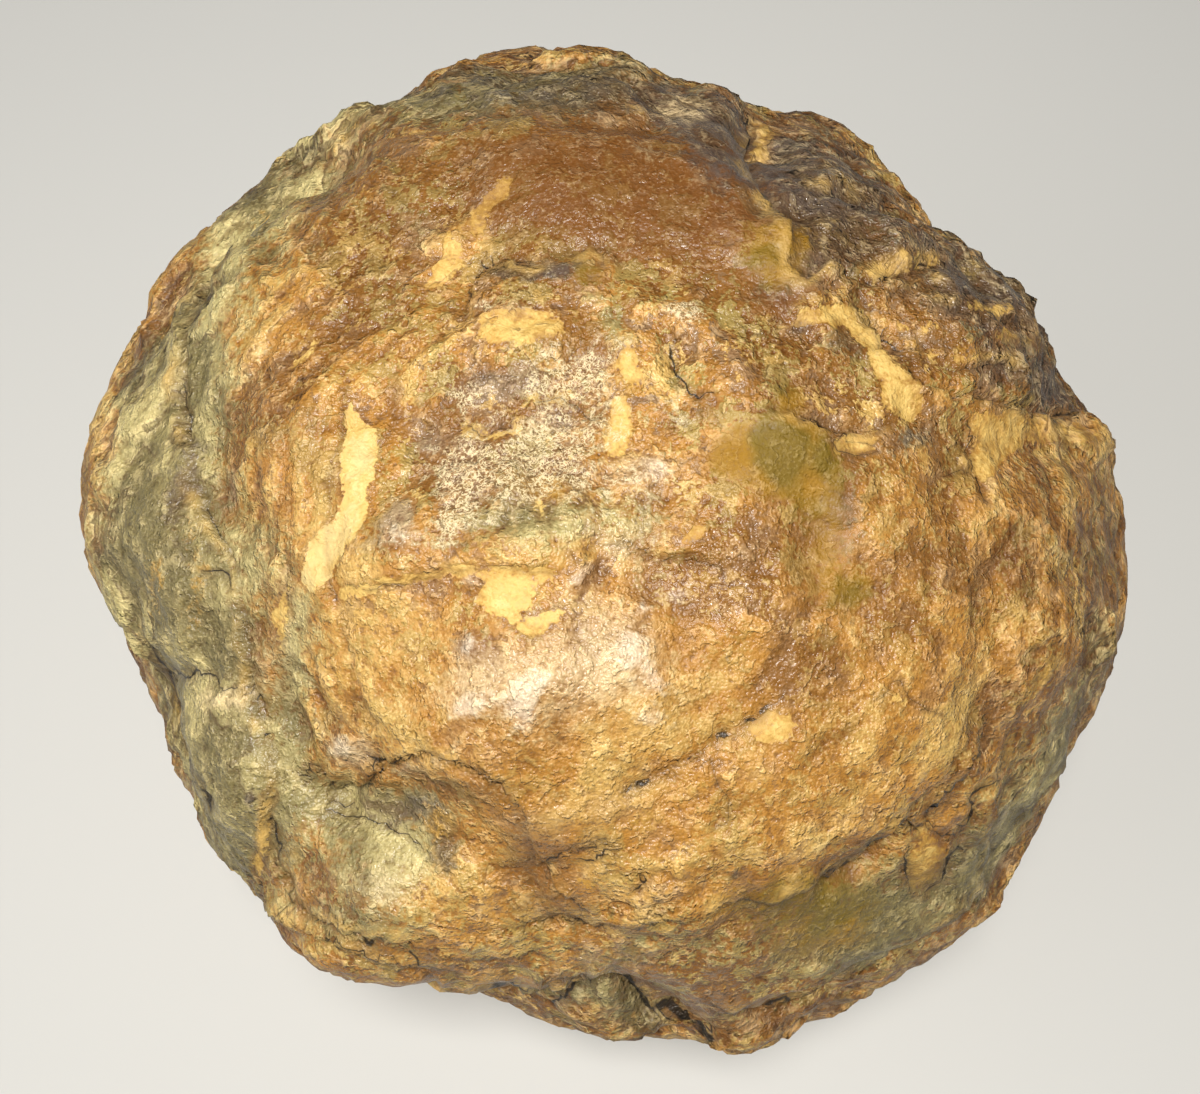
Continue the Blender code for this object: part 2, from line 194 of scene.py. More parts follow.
def near_line(points, width, fade_length=LINE_FADE):
    """Which vertices lie within width of a drawn line, how far off (positive on its left), and the fade."""
    line, run, along = followed(points)
    low, high = line.min(axis=0) - width, line.max(axis=0) + width
    near = np.flatnonzero(((place > low) & (place < high)).all(axis=1) & (shown > 0))
    offset = place[near][:, None, :] - line[None, :, :]
    nearest = np.argmin((offset**2).sum(axis=2), axis=1)
    off = offset[np.arange(len(near)), nearest]
    side = np.sign(run[nearest][:, 0] * off[:, 1] - run[nearest][:, 1] * off[:, 0])
    gap = side * np.linalg.norm(off, axis=1)
    here = along[nearest]
    fade = smooth(0, fade_length, here) * smooth(0, fade_length, along[-1] - here)
    return near, gap, fade * shown[near]


relief = np.zeros(count)  # how far each vertex is raised along its normal, in millimetres
crack_side = np.full(count, NO_LINE)  # distance to the nearest dark line, positive on its left
crack_width = np.full(count, -NO_LINE)  # half that line's width, less than 0 where there is none
lip_edge = np.zeros(count)  # how near it is to the worn upper edge of a lip, 0 to 1


def draw_dark(near, gap, half_width):
    """Keeps the nearest dark line of each vertex, cracks and gaps under lips alike, so that the material can
    draw its painted shadow thin and sharp.
    """
    closer = near[np.abs(gap) < np.abs(crack_side[near])]
    chosen = np.abs(gap) < np.abs(crack_side[near])
    crack_side[closer] = gap[chosen]
    crack_width[closer] = half_width[chosen]


for rise, gap_share, points in LIPS:
    near, gap, fade = near_line(points, LIP_REACH)
    sharp = smooth(-LIP_SLOPE, LIP_SLOPE, gap) - smooth(-SOLID_SLOPE, SOLID_SLOPE, gap)
    uneven = 0.65 + 0.9 * noise_at(flat[near], LIP_UNEVEN, (4, 4, 4))
    relief[near] += LIP_SHARE * rise * sharp * fade * uneven
    foot = np.exp(-((gap + LIP_SLOPE) / FOOT_WIDTH) ** 2) * fade * np.clip(uneven * 1.5 - 0.35, 0, 1)
    relief[near] -= FOOT_DEPTH * foot
    gap_width = GAP_WIDTH * (np.clip(uneven * 2 - 0.9, -0.5, 1.2) + gap_share - 1)
    draw_dark(near, gap + LIP_SLOPE, np.where(fade > 0, gap_width * fade, -NO_LINE))
    edge = np.exp(-((gap - WORN_OFF) / WORN_WIDTH) ** 2) * fade
    lip_edge[near] = np.maximum(lip_edge[near], edge)


# Cracks. The rind has parted along thin, ragged lines, drawn dark with a painted shadow in the gap: depth,
# half width, points on the map.
CRACKS = (
    (2.0, 0.75, ((-0.4, -42), (1.9, -43.1), (3.7, -44.3), (5.7, -45.6), (6.7, -45.4), (7.8, -46.6),
                 (10.1, -47.9), (12.6, -49.4))),
    (1.2, 0.5, ((-0.4, -42), (-2.2, -43.3), (-3.7, -44.3), (-5, -44.8), (-6.5, -44.3), (-8.3, -43.6),
                (-10.9, -43.8), (-13.9, -44.3))),
    (0.9, 0.36, ((1.5, -24.6), (4.4, -23.4), (7, -22.4), (9.6, -21.1), (11.1, -20.6),
                 (12.6, -18.8), (14.9, -17), (17.7, -15.3))),
    (1.5, 0.75, ((20.4, -33.4), (21.7, -33.5), (23.4, -32.6), (25.2, -31.6), (26.8, -31.1), (28.3, -29.5),
                 (29.6, -28.3), (29.8, -27.2), (31.6, -27.6), (33.4, -26.2), (35.7, -24.4), (37, -22.7))),
    (1.0, 0.4, ((31, -27.5), (33.9, -28), (36.2, -29.3), (35.9, -30.8), (34.9, -32.3), (33.2, -34.2))),
    (0.7, 0.35, ((32.1, -27.5), (31.6, -28.8), (31.3, -30.8), (31.1, -33.5))),
    (0.9, 0.4, ((40.8, -22.9), (39.5, -23.9), (37.7, -25.2), (37.5, -27), (36.2, -29.6))),
    (1.1, 0.45, ((25.5, -42.5), (28, -41.5), (29.8, -40.4), (31.9, -39.7), (34.4, -38.3))),
    (0.8, 0.35, ((13, -46.2), (16, -46.1), (17.3, -45.4), (20.4, -44.8), (22.7, -44.6), (25.2, -43.4))),
    (0.6, 0.26, ((-28.6, -25.4), (-25.5, -26.3), (-21.9, -27.3), (-19.4, -28.3), (-17.2, -30.4))),
    (0.8, 0.35, ((-31.4, -22.2), (-28.1, -21.8), (-26.5, -23.7), (-25, -24), (-23.5, -22.9), (-21.5, -24.4))),
    (0.9, 0.35, ((-23.6, -20.3), (-19.4, -21.2), (-17.1, -20.8), (-15.1, -21.4), (-13.8, -21.9),
                 (-10.3, -24.5))),
    (0.6, 0.3, ((-13.8, -21), (-11.6, -22.4), (-9.6, -24.7), (-6.8, -27.5))),
    (0.9, 0.4, ((-35.9, -12.7), (-34.2, -15), (-33.4, -17.3), (-33.4, -21.4), (-32.9, -24), (-32.4, -27.3),
                (-31.6, -30.9), (-30.6, -34.7), (-28.8, -37.2), (-24.5, -39), (-19.9, -40), (-18.1, -41.3),
                (-13.5, -42.5))),
    (0.9, 0.35, ((-43.5, -12), (-41.2, -12.9), (-39.7, -12.4), (-38.2, -13.2), (-36.7, -13.9),
                 (-34.6, -13.2))),
    (0.7, 0.35, ((-41.2, -1.2), (-39.2, -2.5), (-37.7, -3), (-36.7, -5))),
    (1.0, 0.4, ((-46.4, -4.5), (-45.1, -7.8), (-44.3, -10.9), (-43.1, -14.5), (-41.4, -21), (-39.4, -27))),
    (0.6, 0.3, ((25.6, 26.2), (28.3, 27.8), (30.8, 28.6), (34.9, 29.5))),
    (0.9, 0.35, ((25, 25.2), (27.3, 21.5), (28.5, 20))),
    (0.9, 0.35, ((29.9, 19.6), (33.9, 16.6), (36.4, 15.8), (39.5, 14.8), (43.3, 14.1), (49, 14.1))),
    (0.6, 0.3, ((37, 13.1), (36.4, 11.1), (37.2, 8.6), (38.5, 6.8), (39.2, 4.6))),
    (0.5, 0.25, ((22.3, 11.7), (25, 9.6), (28.8, 10))),
    (0.7, 0.3, ((15.3, 13.8), (17.8, 14.3), (20.1, 13.9), (22.4, 12.8), (25.5, 12.2), (27.5, 11.9),
                (30, 12.9))),
    (0.5, 0.25, ((33.4, 7), (35.7, 7.9), (37.6, 8.7))),
    (0.5, 0.18, ((26.6, -14.8), (28.8, -13.9), (30.3, -13.4), (31.9, -15.1), (34.3, -16.6))),
    (0.8, 0.35, ((15, 46.2), (15.3, 42.6), (15, 40.3), (14.1, 38.4))),
    (0.8, 0.4, ((14.8, 38.1), (18.3, 37.8), (21.3, 37.2))),
    (0.6, 0.2, ((-12.8, 29.2), (-9.3, 29), (-7.2, 29), (-4.2, 29.8), (-0.6, 30), (0.8, 28.2))),
    (0.5, 0.18, ((-16.8, 25), (-14.4, 23.7), (-12.9, 24.9), (-11.1, 27.5), (-8.9, 28.7))),
    (0.8, 0.35, ((6.5, 21.6), (7.6, 19), (9.1, 16.9), (10.9, 15.8), (12.6, 16.6))),
    (0.6, 0.2, ((-14.8, 13.4), (-11.8, 12.8), (-9.8, 13.1), (-7.8, 14.4))),
    (0.5, 0.2, ((-7.2, 14.4), (-4.1, 15.1), (-3.1, 14.6), (-0.8, 13.6), (0.9, 13.3))),
    (0.5, 0.25, ((1.6, 1.8), (3.5, 1.1), (4.7, 0.5), (6.1, -0.7), (8.6, -0.7), (10.9, -1.9))),
    (0.8, 0.35, ((-8.4, -38.2), (-5.8, -37.2), (-3.5, -36.7), (-1.2, -37.2), (1.4, -37.7), (3.9, -38.2),
                 (5.8, -37.4))),
    (0.8, 0.35, ((3.1, -34.6), (5, -32.9), (6.2, -31.8), (7.8, -32.1), (10.1, -32.9), (13, -32.2))),
    (0.5, 0.18, ((10.8, -28.9), (12.6, -27), (12.9, -25.2), (11.8, -23.2), (11.2, -20.7))),
    (0.6, 0.3, ((9.2, -44.6), (12.6, -46.1), (15.7, -46.1), (18.2, -44.8), (22.2, -45.2))),
    (0.5, 0.35, ((-5.6, -32), (-3.5, -30.6), (-1.7, -29.3), (1.3, -28.2))),
    (0.5, 0.35, ((-2.6, -31.6), (0.4, -30), (2.8, -29.1))),
)
CRACK_REACH = 2.5
CRACK_FADE = 2.0
CRACK_UNEVEN = 0.2  # how fast a crack's width changes along it
GROOVE_SOFTNESS = 0.35
GROOVE_SHARE = 0.5  # of the depth, carried by the mesh
for depth, half_width, points in CRACKS:
    near, gap, fade = near_line(points, CRACK_REACH, CRACK_FADE)
    open_part = np.clip(0.75 + 1.2 * noise_at(flat[near], CRACK_UNEVEN, (9, 2, 6)), 0.1, 1)
    groove = np.exp(-((gap / (half_width + GROOVE_SOFTNESS)) ** 2)) * fade * open_part
    relief[near] -= GROOVE_SHARE * depth * groove
    draw_dark(near, gap, np.where(fade > 0, (0.75 * half_width - 0.1) * fade * open_part, -NO_LINE))


# The rind's own grain. Fine wrinkles run round the face like the grain of a bun, over small lumps
# and pits. Thin shells have peeled off in ragged terraces, and the flanks stand in small plates.
BALL = 46.0  # the stone's mean radius, in millimetres
GRAIN_WANDER = ((22.0, 9.0), (8.0, 2.4))  # how the grain bends: from bend to bend, how far
GRAIN_LEAN = math.radians(60)  # in the middle of the face the grain runs up and to the right
GRAIN_MIDDLE = (math.radians(12), math.radians(38))
WRINKLES = ((4.0, 0.16), (2.1, 0.10))  # from crest to crest, and height
WRINKLE_SHARPNESS = 2.4
WRINKLE_STRETCH = 1.7  # how much longer than wide they are
LUMPS = ((9.0, 0.34), (4.5, 0.26), (2.3, 0.18), (1.2, 0.11))
SHELL_SIZE = 11.0  # the terraces' wavelength, how many there are to a wave, and how high each is
SHELL_LEVELS = 3.0
SHELL_RISE = 0.34
SHELL_SLOPE = 0.12  # of a terrace, taken up by its edge
SHELL_FRAY = ((4.0, 0.9), (1.9, 0.4), (0.9, 0.16))
FLANK_START = (math.radians(48), math.radians(66))
FLAKES = ((9.0, 0.55, 1.05), (4.2, 0.42, 0.8))  # across, and how uneven on the face and on the flanks
FLAKE_STRETCH = 1.4
FLAKE_WANDER = ((1.7, 0.30), (5.3, 0.10))  # how often their borders bend, and how far
FLAKE_EDGE = 0.10  # of a flake's size, taken up by the slope at its border
NOISE_SEED = 7  # noise_vector would follow the clock without one
# Where the rind's relief is held down or lifted, so that the outline keeps its run
TRIMS = (
    (-29, 41, 5, 4, 0, -1.3), (-22, 44.5, 3, 3, 0, 0.9), (-17, 47.5, 4, 3, 0, -0.6), (-9, 49, 4, 3, 0, -0.4),
    (-24.8, -24.0, 1.6, 1.8, 0, -1.3), (-21.7, -22.6, 1.5, 1.5, 0, 0.9), (33, -31.5, 1.6, 3, 0, -0.5),
)
# Small waxy pillows that stand a little proud, and where whitish glints are painted, a painted highlight:
# map x and y, half width, half height, turn, strength
PILLOWS = (
    (-12.8, -3.3, 1.2, 1.0, 0, 1.0), (-3.3, -3.3, 1.0, 0.9, 0, 1.0), (-1.8, -1.9, 1.2, 0.9, 0, 1.0),
    (4.2, -5.3, 0.8, 0.8, 0, 1.0), (7.4, -4.2, 1.0, 1.0, 0, 0.9), (3.1, -9.7, 2.2, 2.0, 30, 1.3),
    (-6.5, -13.4, 2.4, 1.8, 20, 1.2), (-8.2, -16.0, 1.4, 2.0, 0, 1.1), (-12.5, -15.4, 2.0, 1.3, 10, 1.0),
    (5.4, -13.1, 1.6, 1.4, 0, 0.9), (4.2, -16.6, 1.8, 1.1, 0, 0.9), (-13.4, -9.7, 1.1, 1.5, 0, 1.0),
    (-20.5, 1.2, 1.2, 1.6, -20, 0.7), (5.8, 7.6, 1.6, 1.2, 0, 0.9), (-0.5, 4.0, 1.6, 0.9, 0, 0.7),
    (-25.2, -19.6, 1.4, 0.8, 0, 1.2), (12.2, -9.0, 0.8, 1.4, 0, 0.6),
)
PILLOW_RISE = 0.4
# How rough the rind is, beside 1 elsewhere: map x and y, half width, half height, turn, change
ROUGH_SPOTS = (
    (-4, -12, 15, 11, 15, -0.6), (26, -10, 12, 12, -20, -0.4), (-7, 11, 11, 9, 0, 0.45),
    (38, 23, 11, 6, -30, 1.2), (24, 34, 7, 8, -35, 0.9), (17.8, 9.8, 6, 5, 0, -0.6),
    (1, 35, 15, 7, -8, -0.5), (0, 46, 25, 4, 0, 0.4), (-2, -32, 12, 5, 0, 0.2),
    (-24, -29, 10, 8, 0, -0.1), (-19, -1, 5, 5, 0, -0.3), (-33, 15, 8, 16, 15, 0.2),
    (24, -38, 13, 5, 22, -0.35), (10, 18, 8, 8, 0, 0.2), (-27, 9, 6, 14, 10, -0.3),
    (16, -22, 14, 8, 20, -0.3),
)


def spots_at(rows):
    """The sum of soft elliptical spots on the map: x and y, half width, half height, turn, strength."""
    total = np.zeros(count)
    for middle_x, middle_y, half_width, half_height, turn, weight in rows:
        cosine, sine = math.cos(math.radians(turn)), math.sin(math.radians(turn))
        x, y = place[:, 0] - middle_x, place[:, 1] - middle_y
        along = (x * cosine + y * sine) / half_width
        upward = (y * cosine - x * sine) / half_height
        total += weight * np.exp(-0.7 * (along * along + upward * upward))
    return total * shown


spots = toward * BALL
right, upward_place = spots @ face_right, spots @ face_up
middle_grain = right * math.sin(GRAIN_LEAN) - upward_place * math.cos(GRAIN_LEAN)
grain = middle_grain + (lean * BALL - middle_grain) * smooth(*GRAIN_MIDDLE, lean)
for bend, far in GRAIN_WANDER:
    grain += far * noise_at(spots, 1 / bend, (2, 8, 4))
rough = np.clip(1 + spots_at(ROUGH_SPOTS), 0.25, 2.2)
drift = np.column_stack((toward @ face_right, toward @ face_up)) * BALL / WRINKLE_STRETCH
small = np.zeros(count)
for spacing, crest in WRINKLES:
    waves = noise_at(np.column_stack((drift, grain)), 1 / spacing, (spacing, 0, 0))
    small += crest * (1 - WRINKLE_SHARPNESS * np.abs(waves))
for size, crest in LUMPS:
    small += crest * noise_at(spots, 1 / size, (size, 1, 2))
relief_small = small * rough
shell = SHELL_LEVELS * noise_at(spots, 1 / SHELL_SIZE, (6, 6, 1))
for size, far in SHELL_FRAY:
    shell += far * noise_at(spots, 1 / size, (1, size, 5))
tooth = shell - np.floor(shell)
stepped = np.floor(shell) + smooth(1 - SHELL_SLOPE, 1, tooth) + 0.25 * smooth(0, SHELL_SLOPE, tooth)
relief_small += SHELL_RISE * (stepped - shell) * np.clip(rough, 0, 1.3)
noise.seed_set(NOISE_SEED)
flank = smooth(*FLANK_START, lean)
flake_tone = np.zeros(count)
flake_side = np.ones(count)  # distance to the nearest flake's border, positive on the higher side
flake_drop = np.zeros(count)  # how high that border stands
for size, face_height, flank_height in FLAKES:
    stand = face_height * np.clip(rough, 0, 1.5) + (flank_height - face_height) * flank
    for index in range(count):
        here = Vector((*drift[index, :2] * FLAKE_STRETCH, grain[index])) / size
        here += sum((far * noise.noise_vector(here * bend) for bend, far in FLAKE_WANDER), Vector())
        gaps, cells = noise.voronoi(here)
        own, other = (noise.noise(cell * 7.1 + Vector((0.3, 0.6, 0.9))) for cell in cells[:2])
        off = gaps[1] - gaps[0]
        border = max(1 - off / FLAKE_EDGE, 0)
        level = own + (other - own) * 0.5 * border * border * (3 - 2 * border)
        relief_small[index] += stand[index] * level
        flake_tone[index] += level
        if off * size < abs(flake_side[index]):
            flake_side[index] = off * size * (1 if own > other else -1)
            flake_drop[index] = stand[index] * abs(own - other)
relief += relief_small + spots_at(TRIMS) + PILLOW_RISE * spots_at(PILLOWS)

moved = start + outward * (relief * MM)[:, None]
moved[:, 2] = np.maximum(moved[:, 2], 0)
nodule.data.vertices.foreach_set("co", moved.ravel())
nodule.data.update()


def paint(name, values):
    """Keeps one number for each vertex, for the material to read."""
    layer = nodule.data.attributes.new(name, "FLOAT", "POINT")
    layer.data.foreach_set("value", np.ascontiguousarray(values, dtype=np.float32))


paint("grain", grain)
paint("crack_side", crack_side)
paint("crack_width", np.clip(crack_width, -0.6, NO_LINE))
paint("crack_far", np.abs(crack_side))
paint("lip_edge", np.clip(lip_edge, 0, 1))
paint("height", relief_small)
paint("rough", rough)
paint("flake_tone", flake_tone)
paint("flake_side", flake_side)
paint("flake_drop", flake_drop)


# The stains. Ochre shows with a crisp edge where a chip has come off the rind. The others are soft:
# iron's yellow, olive, red and brown, grey films, violet films that are partly a painted sheen, dark stains
# with painted shade in the hollow, pale spots that are partly painted sheen and light, crusted spots,
# whitish glints that are a painted highlight, and painted shade.
# Ochre chips: how bright, and the outline on the map
OCHRE_CHIPS = (
    (1.0, ((-25.1, 15.9), (-24.2, 13.7), (-22.9, 11.6), (-22.6, 9.8), (-22.9, 7.5), (-23.4, 5.3),
           (-23, 3.5), (-24.3, 1), (-25, -0.6), (-26.5, -1.6), (-27.4, -3), (-27.8, -4.2), (-29.2, -3.8),
           (-30.1, -3), (-29.5, -0.8), (-28.9, 1), (-27.4, 2.6), (-26.4, 4), (-26.2, 5.3), (-25.7, 7.2),
           (-25.6, 13.7))),
    (0.7, ((-31.1, -3.1), (-30.8, -4.1), (-31.1, -7.7), (-31.9, -9.5), (-32.6, -7.7), (-32.2, -4.9))),
    (0.72, ((-11.9, -3.4), (-9, -2.4), (-7.2, -2.7), (-6.9, -5.2), (-7.9, -6.3), (-9.7, -7.7),
            (-11.1, -6.6), (-12.2, -5.2))),
    (0.72, ((-9.2, -7.6), (-6.9, -6.7), (-5.4, -5.9), (-3.6, -5.6), (-3.2, -6.8), (-5.1, -7.8),
            (-7.2, -8.6))),
    (0.55, ((-11.9, 21.6), (-11.5, 22.6), (-9.7, 23.7), (-6.5, 24.2), (-4, 23), (-3.6, 21.6),
            (-5.1, 20.8), (-8.3, 21.0), (-11.1, 20.5))),
    (0.7, ((-14.4, 13.6), (-12, 13.2), (-9.6, 13.0), (-8.2, 13.8), (-7.7, 15.0), (-8.4, 12.7), (-10.4, 11.9),
           (-14.2, 12.1))),
    (0.6, ((-7.1, 15.4), (-5.2, 15.1), (-3.5, 16.0), (-2.6, 15.6), (-2.8, 14.3), (-4.6, 14.4), (-6.9, 14.5))),
    (0.55, ((0.8, 15.2), (2.6, 15.4), (3.3, 12), (3.4, 9), (1.4, 8.6), (0.9, 11))),
    (0.5, ((1.6, 18.5), (2.6, 20.4), (3.6, 19.5), (5.2, 16.6), (3.6, 15.6), (2.6, 16.8))),
    (0.75, ((-6.4, 5.6), (-5.2, 5.8), (-4.9, 4.2), (-5.6, 3.2), (-6.5, 4.4))),
    (0.5, ((-15.1, 32.6), (-13.6, 30.9), (-14, 28.4), (-15.4, 26.6), (-16.9, 25.9), (-17.9, 25.9),
           (-16.9, 28), (-15.6, 30.1))),
    (0.4, ((-12.6, 34.4), (-9.4, 37.6), (-8.3, 36.9), (-10.4, 34.4), (-11.5, 31.9), (-12.6, 31.6))),
    (0.45, ((15.3, 45.2), (16.7, 44.9), (19.7, 43.4), (18.2, 40.8), (16.7, 39.3), (16, 38.2), (14.9, 38.9),
           (15.6, 41.1))),
    (0.62, ((17.9, 23.7), (21.9, 24.9), (24.9, 24.5), (25.6, 22.3), (28.2, 20.8), (29.3, 18.6),
           (32.7, 17.4), (33, 14.1), (31.6, 12.6), (28.2, 13.7), (27.9, 16), (27.1, 18.9), (24.9, 21.5),
           (22.7, 22.3))),
    (0.42, ((37.1, 13.7), (40.4, 13.7), (49, 13.4), (50.1, 11.1), (49, 10.4), (45.6, 11.1), (42.7, 11.1),
           (40.8, 10), (39.3, 8.2), (38.2, 7.4), (37.1, 9.3), (36.4, 11.9))),
    (0.5, ((22.7, 11.1), (25.3, 11.9), (27.9, 11.1), (27.5, 10), (25.6, 9.3), (23.4, 9.7))),
    (0.5, ((7.5, 1.5), (9, 3), (9.9, 1.9), (9.3, 0.8), (8, 0.8))),
    (0.2, ((39.3, 22.3), (43.8, 22), (43.5, 20), (40, 20.5))),
    (0.5, ((14.9, -17.7), (16, -16.3), (18.2, -15.5), (19.3, -16.3), (19.7, -17.7), (18.2, -18.5),
           (16.7, -19.2))),
    (0.35, ((32.5, -28.1), (34.1, -28.5), (35.3, -30), (34.5, -32.2), (33, -34), (31.6, -33.7),
           (31.2, -32.2), (31.6, -30.3))),
)
# Thin ochre bands: half width, points
OCHRE_BANDS = (
    (0.7, ((-26.9, -4.1), (-23.6, -3.8), (-21.1, -3.1), (-18.3, -3.1), (-14.7, -2.4), (-11.9, -2.4),
           (-7.5, -2.6), (-4.5, -2.3))),
    (0.5, ((26.7, 27.4), (30.8, 28.9), (34.5, 29.7))),
    (0.5, ((-32.6, 17.3), (-30.5, 19), (-28.1, 22.3))),
    (0.6, ((36.4, 24.6), (39, 24.2), (41.5, 23.6))),
    (0.7, ((38.9, 21.3), (41, 21.6), (43.4, 20.8))),
    (0.5, ((29.5, 22.8), (32, 22), (34.5, 22.2))),
    (0.5, ((33, 20.2), (35.5, 19.6), (38, 19.8))),
    (0.5, ((28.4, -15.2), (30.4, -14.8), (32.1, -15.7))),
    (0.6, ((-33.6, -23), (-33.4, -28), (-34, -33.5))),
    (0.5, ((-12, -45), (-9, -46), (-5, -46.5))),
)
